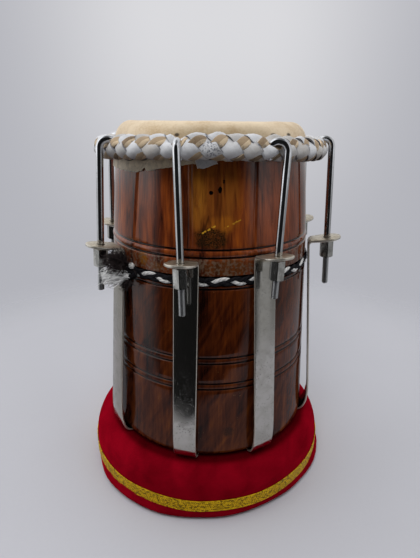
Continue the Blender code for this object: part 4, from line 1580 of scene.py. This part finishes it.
tuftSettings = {
    # out, side and up in metres from the knot; each tuft fans about its aim
    "black": {
        "root": (0.0034, -0.0038, 0.0072),
        "aim": (0.80, -0.58, 0.46),
        "spread": 0.95,
        "length": (0.0100, 0.0195),
        "count": 620,
        "fibre": 0.00034,
        "curl": 0.0030,
        "droop": 0.0004,
        "seed": 3,
    },
    "white": {
        "root": (0.0036, -0.0014, -0.0016),
        "aim": (0.66, -0.78, 0.00),
        "spread": 0.40,
        "length": (0.0090, 0.0215),
        "count": 330,
        "fibre": 0.00040,
        "curl": 0.0064,
        "droop": 0.0004,
        "seed": 5,
    },
    "small": {
        "root": (0.0012, -0.0004, -0.0062),
        "aim": (0.45, -0.50, -0.30),
        "spread": 1.00,
        "length": (0.0050, 0.0110),
        "count": 190,
        "fibre": 0.00033,
        "curl": 0.0030,
        "droop": 0.0006,
        "seed": 8,
    },
}

fibreSettings = {
    "joints": 7,
    "lean": 0.62,
    "rootSpread": 0.0011,
    "shorter": 0.25,              # those that lean out are shorter
    "curlTurn": 3.4,
    "taper": 0.55,
    "wallOut": -0.0042,           # none goes further in than this
    "nutClearance": 0.0064,       # or nearer to the axis of the tuner beside them
    "toneStep": 0.618,            # spreads the tones, one to a fibre
    "besideTuner": 7,             # counted from 0, at the front left
}


def nearTuner(spot):
    # true where a point would be in the nut or rod beside the knot
    away = tuners[fibreSettings["besideTuner"]].inverted() @ Vector(spot)
    return math.hypot(away.x, away.y) < fibreSettings["nutClearance"]


def tuftMesh(name, look):
    draw = random.Random(look["seed"])
    aim = Vector(look["aim"]).normalized()
    s = fibreSettings
    parts = []
    along = []
    for n in range(look["count"]):
        lean = Vector([draw.gauss(0.0, 1.0) for c in range(3)]) * look["spread"] * s["lean"]
        direction = (aim + lean).normalized()
        if direction.x < -0.15:       # turned back out from the shell
            direction.x *= -0.4
        root = Vector(look["root"]) + Vector([draw.gauss(0.0, s["rootSpread"]) for c in range(3)])
        length = draw.uniform(*look["length"]) * (1.0 - s["shorter"] * lean.length)
        curl = Vector([draw.uniform(-1.0, 1.0) for c in range(3)]) * look["curl"]
        points = []
        sizes = []
        for i in range(s["joints"] + 1):
            share = i / s["joints"]
            spot = root + direction * (length * share) + curl * math.sin(share * s["curlTurn"]) * share
            spot.z -= look["droop"] * share * share
            point = cordPoint(max(spot.x, s["wallOut"]), spot.y, spot.z)
            if nearTuner(point):
                break
            points.append(point)
            thick = look["fibre"] * (1.0 - s["taper"] * share)
            sizes.append((thick, thick))
        if len(points) < 3:
            continue
        verts, faces, shares = tubeParts(points, sizes, 4)
        parts.append((verts, faces))
        along.extend([n * s["toneStep"] % 1.0] * len(shares))
    mesh = meshFrom(name, *joinParts(parts))
    setTwist(mesh, along, 1)
    return mesh


knotSettings = {
    # strand wound into a ball: loops, seed, reach outwards, sideways and up, thickness, and its middle
    "knotBlack": (5, 4, (0.0030, 0.0044, 0.0036), 0.0012, (0.0, 0.0, 0.0)),
    "knotWhite": (4, 9, (0.0014, 0.0017, 0.0017), 0.0008, (0.0020, 0.0034, 0.0074)),
}


def knotMesh(name):
    loops, seed, reach, thick, centre = knotSettings[name]
    samples = 22                      # on each loop
    sides = 10
    across = 0.35                     # how far the loops cross each other
    count = loops * samples
    lean = random.Random(seed).uniform(0.0, 6.0)
    points = []
    for i in range(count):
        t = math.tau * loops * i / count
        tilt = t / loops * 2.0 + lean
        x = math.cos(t) * math.cos(tilt * 0.5) - across * math.sin(t) * math.sin(tilt)
        y = math.sin(t)
        z = math.cos(t) * math.sin(tilt * 0.5) + across * math.sin(t) * math.cos(tilt)
        offset = Vector((x, y, z)).normalized()
        points.append(cordPoint(*(c + o * r for c, o, r in zip(centre, offset, reach))))
    verts, faces, shares = tubeParts(points, (thick, thick), sides)
    mesh = meshFrom(name, verts, faces)
    setTwist(mesh, [share * loops * 2.0 for share in shares], sides)
    return mesh


def makeCord():
    blackYarn = makeYarn("blackYarn", yarnSettings["black"])
    whiteYarn = makeYarn("whiteYarn", yarnSettings["white"])
    frayedYarn = makeYarn("frayedYarn", yarnSettings["frayed"])
    frayedWhite = makeYarn("frayedWhite", yarnSettings["frayedWhite"])
    for k, mat in enumerate((whiteYarn, blackYarn, blackYarn)):
        name = f"braidStrand{k + 1}"
        addPiece(name, strandMesh(name, k), mat, "drum", "braid", "waist_cord")
    addPiece("knotBlack", knotMesh("knotBlack"), blackYarn, "drum", "braid", "cord_knot")
    addPiece("knotWhite", knotMesh("knotWhite"), whiteYarn, "drum", "braid")
    blackTuft = tuftMesh("blackTuft", tuftSettings["black"])
    addPiece("blackTuft", blackTuft, frayedYarn, "drum", "black_yarn", "black_tuft")
    whiteTuft = tuftMesh("whiteTuft", tuftSettings["white"])
    addPiece("whiteTuft", whiteTuft, frayedWhite, "drum", "white_yarn", "white_tuft")
    smallTuft = tuftMesh("smallTuft", tuftSettings["small"])
    addPiece("smallTuft", smallTuft, frayedYarn, "drum", "black_yarn")


makeCord()
print("waist cord done")


# ring cushion of red velvet with its gold band
cushionSettings = {
    "radius": 0.1118,
    "seat": 0.0463,
    "seatOuter": 0.0930,
    "seatInner": 0.0620,
    "holeRadius": 0.0430,
    "shoulder": 0.0230,
    "foot": 0.0090,
    "voxel": 0.0045,
    "pressure": 4.0,
    "frames": 20,
    "cap": 0.006,
    "bulge": 0.0016,
    "bulgeOval": 0.0008,
    "bulgeRipple": 0.0004,
    "bulgeTurn": -48.0,
    "bulgeFrom": (0.095, 0.111),      # radii where the swell starts and is full
    "outside": 0.09,                  # the outer side is beyond this radius
    "slack": 0.0004,                  # room left for the pad under the band
    "tuck": 0.005,                    # height below the band over which the foot swells
    "footFrom": (0.0960, 0.1030),
    "lip": 0.0012,                    # what the pad rises outside the drum
    "lipFrom": (0.1020, 0.1050),
    "press": 0.0002,
    "bandTop": 0.0210,
    "bandLow": 0.0102,
    "footRound": 0.0060,
    # how far the pad swells out below the band, by degrees round from the front
    "footReach": (
        (-180.0, 0.0010),
        (-90.0, -0.0020),
        (-75.0, -0.0018),
        (-48.0, 0.0038),
        (-25.0, 0.0038),
        (0.0, 0.0004),
        (25.0, -0.0004),
        (48.0, 0.0018),
        (66.0, 0.0040),
        (95.0, 0.0030),
        (180.0, 0.0010),
    ),
    "bandOff": 0.0003,
    "bandLanes": 5.0,                 # rows of slanted stitches
    "bandStitches": 210.0,
    "bandEdgeTwist": 700.0,
    "bandWander": ((3.0, 0.6, 0.0005), (11.0, 0.0, 0.0003)),      # times round, shift and size
    "bandRelief": (0.00016, 0.00026, 0.00042),    # of the ground, the stitches and the edges
    "bandSteps": 1400,
    "bandRows": 22,
}


def sideBulge(turn):
    # the pad is not quite round: it swells a little at the front left
    s = cushionSettings
    away = turn - math.radians(s["bulgeTurn"])
    oval = s["bulgeOval"] * math.cos(2.0 * away)
    return s["bulge"] * math.cos(away) + oval + s["bulgeRipple"] * math.sin(5.0 * turn + 0.7)


def footSwell(turn):
    angle = signedTurn(math.degrees(turn))
    table = cushionSettings["footReach"]
    for (low, start), (high, end) in zip(table, table[1:]):
        if angle <= high:
            return start + (end - start) * smoothStep(angle, low, high)
    return table[-1][1]


def cushionProfile():
    s = cushionSettings
    reach = (s["radius"] - s["seatOuter"], s["seat"] - s["shoulder"] - s["lip"])
    outer = arcPoints((s["seatOuter"], s["shoulder"]), reach, 90.0, 0.0, 12)
    foot = arcPoints((s["radius"] - s["foot"], s["foot"]), (s["foot"], s["foot"]), 0.0, -90.0, 6)
    middle = s["seat"] / 2
    reach = (s["seatInner"] - s["holeRadius"], middle - s["lip"])
    return outer + foot + arcPoints((s["seatInner"], middle), reach, 270.0, 90.0, 14)


def swellPad(piece):
    # cloth filled from inside, with gravity kept off and a cap on how far a point may move
    s = cushionSettings
    remesh = piece.modifiers.new("voxels", "REMESH")
    remesh.mode = "VOXEL"
    remesh.voxel_size = s["voxel"]
    piece.data = bakedMesh(piece)
    rest = [vert.co.copy() for vert in piece.data.vertices]
    cloth = piece.modifiers.new("filling", "CLOTH")
    cloth.settings.use_pressure = True
    cloth.settings.uniform_pressure_force = s["pressure"]
    cloth.settings.quality = 5
    cloth.settings.effector_weights.gravity = 0.0
    scene = bpy.context.scene
    for step in range(1, s["frames"] + 1):
        scene.frame_set(step)
    done = bakedMesh(piece)
    scene.frame_set(1)
    for vert, start in zip(done.vertices, rest):
        move = vert.co - start
        if move.length > s["cap"]:
            vert.co = start + move * (s["cap"] / move.length)
    piece.data = done


def settlePad(mesh):
    # flat on the floor, pressed under the drum, drawn in under the band
    s = cushionSettings
    limit = s["radius"] + s["slack"]
    tuck = s["bandLow"] - s["slack"]
    for vert in mesh.vertices:
        x, y, z = vert.co
        radius = math.hypot(x, y)
        turn = math.atan2(x, -y)
        if radius > s["outside"]:
            radius = min(radius, limit)
            if z < tuck:
                foot = limit + footSwell(turn) * smoothStep(tuck - z, 0.0, s["tuck"])
                below = min(1.0, max(0.0, 1.0 - z / s["footRound"]))
                foot -= s["footRound"] * (1.0 - math.sqrt(1.0 - below * below))
                radius += (foot - radius) * smoothStep(radius, *s["footFrom"])
            radius += sideBulge(turn) * smoothStep(radius, *s["bulgeFrom"])
        most = s["seat"] - s["press"] + smoothStep(radius, *s["lipFrom"]) * s["lip"]
        vert.co = onCircle(turn, radius, min(max(z, 0.0), most))


def makeCushion(mat):
    piece = linkMesh("velvetRing", turnedMesh("velvetRing", cushionProfile(), 96))
    swellPad(piece)
    settlePad(piece.data)
    smooth = piece.modifiers.new("smooth", "SUBSURF")
    smooth.levels = 1
    smooth.render_levels = 1
    mesh = bakedMesh(piece)
    piece.data = mesh
    mesh.shade_smooth()
    for vert in mesh.vertices:
        vert.co.z = max(0.0, vert.co.z)
    setFinish(mesh, mat)
    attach(piece, "cushion")
    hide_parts("ring_cushion")
    return piece


def makeBand(mat):
    # ribbon of metal thread: fine slanted stitches between two corded edges
    s = cushionSettings
    steps = s["bandSteps"]
    rows = s["bandRows"]
    ground, raised, corded = s["bandRelief"]
    verts = []
    tones = []
    for layer in (1.0, 0.0):
        for i in range(steps):
            turn = math.tau * i / steps
            wander = sum(size * math.sin(times * turn + shift) for times, shift, size in s["bandWander"])
            bulge = sideBulge(turn)
            cord = 0.75 + 0.25 * math.sin(turn * s["bandEdgeTwist"])
            for j in range(rows + 1):
                share = j / rows
                height = s["bandTop"] + (s["bandLow"] - s["bandTop"]) * share + wander
                edge = max(0.0, 1.0 - min(share, 1.0 - share) * rows / 2.0)
                place = share * s["bandLanes"]
                lane = math.floor(place)
                lean = math.pi if lane % 2 else -math.pi
                stitch = abs(math.sin(turn * s["bandStitches"] + (place - lane) * lean))
                relief = ground + raised * stitch * (1.0 - edge) + corded * edge * cord
                verts.append(onCircle(turn, s["radius"] + s["bandOff"] + bulge + relief * layer, height))
                tones.append(stitch * (1.0 - edge) + edge)
    size = rows + 1
    back = steps * size
    faces = gridFaces(steps, size, True, False) + gridFaces(steps, size, True, False, back)
    for i in range(steps):
        here = i * size
        there = (i + 1) % steps * size
        for j in (0, rows):
            faces.append((here + j, back + here + j, back + there + j, there + j))
    mesh = meshFrom("goldBand", verts, faces)
    addValues(mesh, "stitch", tones)
    return addPiece("goldBand", mesh, mat, "cushion", "gold", "gold_band")


velvetSettings = {
    "deep": (0.150, 0.0008, 0.0055),
    "middle": (0.215, 0.0012, 0.0080),
    "bright": (0.300, 0.0022, 0.0115),
    "sheen": (1.0, 0.012, 0.04, 1.0),
    "contactShadow": (0.0945, 0.1000, 0.40),    # painted contact shadow round the drum's foot: radii where it is darkest and where it ends, and its darkest tint
    "leftSheen": (-0.112, -0.055, 1.30),    # painted sheen on the left side: places across the ring where it is full and where it ends, and its gain
    "pileScale": 2600.0,
}


def makeVelvet(settings):
    constants = {"Roughness": 0.9, "Specular IOR Level": 0.0, "Sheen Weight": 0.30}
    constants.update({"Sheen Roughness": 0.35, "Sheen Tint": settings["sheen"]})
    mat, tree, shader = newMaterial("redVelvet", **constants)
    place = objectOut(tree)
    nap = mottled(tree, place, 38.0, 1700.0, 0.35)
    strokes = noiseOut(tree, stretchOut(tree, place, (1.0, 0.35, 1.0)), 60.0, 3.0, 0.6)
    tone = weightedOut(tree, (nap["Tone"], 0.6), (strokes, 0.4))
    stops = ((0.36, settings["deep"]), (0.50, settings["middle"]), (0.68, settings["bright"]))
    colour = rampOut(tree, tone, stops)
    reach = vectorOut(tree, "LENGTH", vectorOut(tree, "MULTIPLY", place, (1.0, 1.0, 0.0)))
    # painted contact shadow beside the drum
    low, high, dim = settings["contactShadow"]
    colour = tintOut(tree, colour, rangeOut(tree, reach, low, high, dim, 1.0, True))
    # painted sheen that brightens the left side of the pad
    low, high, gain = settings["leftSheen"]
    colour = tintOut(tree, colour, rangeOut(tree, axisOut(tree, place, "X"), low, high, gain, 1.0, True))
    pile = noiseOut(tree, place, settings["pileScale"], 2.0)
    feed(tree, shader, colour=colour, normal=bumpOut(tree, pile, 0.0005, 0.5))
    return mat


goldSettings = {
    "bright": (0.88, 0.575, 0.011),
    "middle": (0.575, 0.338, 0.003),
    "dark": (0.066, 0.032, 0.002),
    "sparkScale": 780.0,
    "sparkStretch": (1.0, 1.0, 1.5),
}


def makeGold(settings):
    mat, tree, shader = newMaterial("goldThread", **{"Metallic": 0.35, "Specular IOR Level": 0.1})
    place = objectOut(tree)
    flat = stretchOut(tree, place, settings["sparkStretch"])
    spark = axisOut(tree, cellsOut(tree, flat, settings["sparkScale"], "Color"), "X")
    worn = mottled(tree, place, 260.0, 1500.0, 0.6)
    rubbed = rangeOut(tree, worn["Tone"], 0.32, 0.62, 0.45, 1.0)
    tone = timesOut(tree, valueOut(tree, "stitch"), rubbed)
    tone = timesOut(tree, tone, rangeOut(tree, spark, 0.05, 0.75, 0.15, 1.15))
    stops = ((0.06, settings["dark"]), (0.34, settings["middle"]), (0.85, settings["bright"]))
    rough = rangeOut(tree, worn["Tone"], 0.3, 0.7, 0.30, 0.60)
    normal = bumpOut(tree, worn["Grain"], 0.0003, 0.5)
    feed(tree, shader, colour=rampOut(tree, tone, stops), rough=rough, normal=normal)
    return mat


makeCushion(makeVelvet(velvetSettings))
makeBand(makeGold(goldSettings))
print("cushion done")


# plain floor, soft light and a pale background
stageSettings = {
    "floorRadius": 0.62,
    "floorSteps": 96,
    "floorFront": (-0.268, -0.232),   # the floor fades out between these towards the front
    "floorTurn": -20.0,               # turn of that edge in degrees
    "floorFade": (0.34, 0.58),        # and between these radii elsewhere
    "floorColour": (0.545, 0.545, 0.585),
    "topLight": {"place": (-0.10, -0.45, 0.90), "size": 0.40, "power": 3.2},
    "openingTurn": -10.0,             # where the dim opening at the front has its middle, in degrees
    "opening": (0.44, 0.74),          # cosine of the angle from there where it starts and is full
    "wallLevel": 0.95,
    "sideLight": (1.36, 0.92),        # left and right walls for what they light
    "sideShine": (1.36, 0.68),        # and in what shines
    "topLevel": 0.38,
    "topLean": 0.60,                  # keeps the top light off the front
    "dimLevel": 0.011,
    "underLevel": 0.40,
    "underRise": (-0.12, 0.02),       # heights where the walls take over from what is below
    "topRise": (0.42, 0.75),          # and the top from the walls
    "tint": (0.975, 0.985, 1.0),
    # paler walls in what shines: turn in degrees, cosines where a panel starts and is full, gain
    "panels": ((-72.0, 0.880, 0.970, 1.35), (59.0, 0.950, 0.988, 1.36)),
    "ceiling": (0.88, 0.97, 0.30),    # height where the top turns dim in the metal, and how dim
    "backdropLow": (0.445, 0.450, 0.490),
    "backdropHigh": (0.70, 0.70, 0.725),
    "backdropRise": (-0.40, 0.20),
    "backdropHalf": (0.10, 0.50),     # how far to either side it stays high
}


def makeFloor(settings):
    steps = settings["floorSteps"]
    corners = [onCircle(math.tau * i / steps, settings["floorRadius"], 0.0) for i in range(steps)]
    floor = linkMesh("floor", meshFrom("floor", corners, [tuple(range(steps))]))
    floor.location.z = -0.0003
    mat, tree, shader = newMaterial("floorPaper", Roughness=0.85)
    place = objectOut(tree)
    tone = mottled(tree, place, 6.0, 300.0, 0.3)["Tone"]
    gains = ((0.3, 0.98), (0.7, 1.02))
    stops = [(at, tuple(c * gain for c in settings["floorColour"])) for at, gain in gains]
    fade = rangeOut(tree, vectorOut(tree, "LENGTH", place), *settings["floorFade"], 1.0, 0.0, True)
    facing = onCircle(math.radians(settings["floorTurn"]), -1.0, 0.0)
    ahead = vectorOut(tree, "DOT_PRODUCT", place, facing)
    front = rangeOut(tree, ahead, *settings["floorFront"], 0.0, 1.0, True)
    feed(tree, shader, colour=rampOut(tree, tone, stops), alpha=timesOut(tree, fade, front))
    floor.data.materials.append(mat)


def makeLights(settings):
    look = settings["topLight"]
    data = bpy.data.lights.new("topLight", "AREA")
    data.shape = "DISK"
    data.size = look["size"]
    data.energy = look["power"]
    light = bpy.data.objects.new("topLight", data)
    light.location = look["place"]
    light.visible_glossy = False      # the pale walls alone show in the metal and the varnish
    aim = Vector((0.0, 0.0, 0.15)) - light.location
    light.rotation_euler = aim.to_track_quat("-Z", "Y").to_euler()
    bpy.context.scene.collection.objects.link(light)


def makeWorld(settings):
    # pale walls and top with a dim opening towards the front, and a pale backdrop for what the camera sees
    s = settings
    world = bpy.data.worlds.new("studio")
    bpy.context.scene.world = world
    world.use_nodes = True
    tree = world.node_tree
    tree.nodes.clear()
    direction = addNode(tree, "ShaderNodeTexCoord").outputs["Generated"]
    axes = addNode(tree, "ShaderNodeSeparateXYZ", {0: direction}).outputs
    rays = addNode(tree, "ShaderNodeLightPath").outputs
    shines = rays["Is Glossy Ray"]
    level = vectorOut(tree, "NORMALIZE", vectorOut(tree, "MULTIPLY", direction, (1.0, 1.0, 0.0)))
    middle = onCircle(math.radians(s["openingTurn"]), -1.0, 0.0)
    ahead = vectorOut(tree, "DOT_PRODUCT", level, middle)
    across = axisOut(tree, level, "X")
    lit, shiny = [rangeOut(tree, across, -1.0, 1.0, *s[key]) for key in ("sideLight", "sideShine")]
    gain = blendOut(tree, shines, lit, shiny)
    start, full = s["opening"]
    levels = []
    for key in ("underLevel", "wallLevel"):
        shade = rangeOut(tree, ahead, -full, -start, s["dimLevel"], s[key], True)
        levels.append(timesOut(tree, shade, gain))
    light = blendOut(tree, rangeOut(tree, axes["Z"], *s["underRise"], 0.0, 1.0, True), *levels)
    for turn, start, full, shine in s["panels"]:
        near = vectorOut(tree, "DOT_PRODUCT", level, onCircle(math.radians(turn), 1.0, 0.0))
        near = timesOut(tree, rangeOut(tree, near, start, full, 0.0, shine - 1.0, True), shines)
        light = timesOut(tree, light, mathOut(tree, "ADD", near, 1.0))
    over = mathOut(tree, "ADD", axes["Z"], timesOut(tree, axes["Y"], s["topLean"]))
    top = rangeOut(tree, over, *s["topRise"], 0.0, s["topLevel"], True)
    studio = tintOut(tree, mathOut(tree, "MAXIMUM", light, top), s["tint"])
    low, high, dim = s["ceiling"]
    ceiling = tintOut(tree, studio, rangeOut(tree, axes["Z"], low, high, 1.0, dim, True))
    studio = mixOut(tree, shines, studio, ceiling)
    rise = rangeOut(tree, axes["Z"], *s["backdropRise"], 0.0, 1.0, True)
    centre = rangeOut(tree, mathOut(tree, "ABSOLUTE", axes["X"]), *s["backdropHalf"], 1.0, 0.0, True)
    backdrop = mixOut(tree, timesOut(tree, rise, centre), s["backdropLow"], s["backdropHigh"])
    colour = mixOut(tree, rays["Is Camera Ray"], studio, backdrop)
    background = addNode(tree, "ShaderNodeBackground", {"Color": colour, "Strength": 1.0})
    output = addNode(tree, "ShaderNodeOutputWorld")
    tree.links.new(background.outputs[0], output.inputs[0])


makeFloor(stageSettings)
makeLights(stageSettings)
makeWorld(stageSettings)
print("stage done")
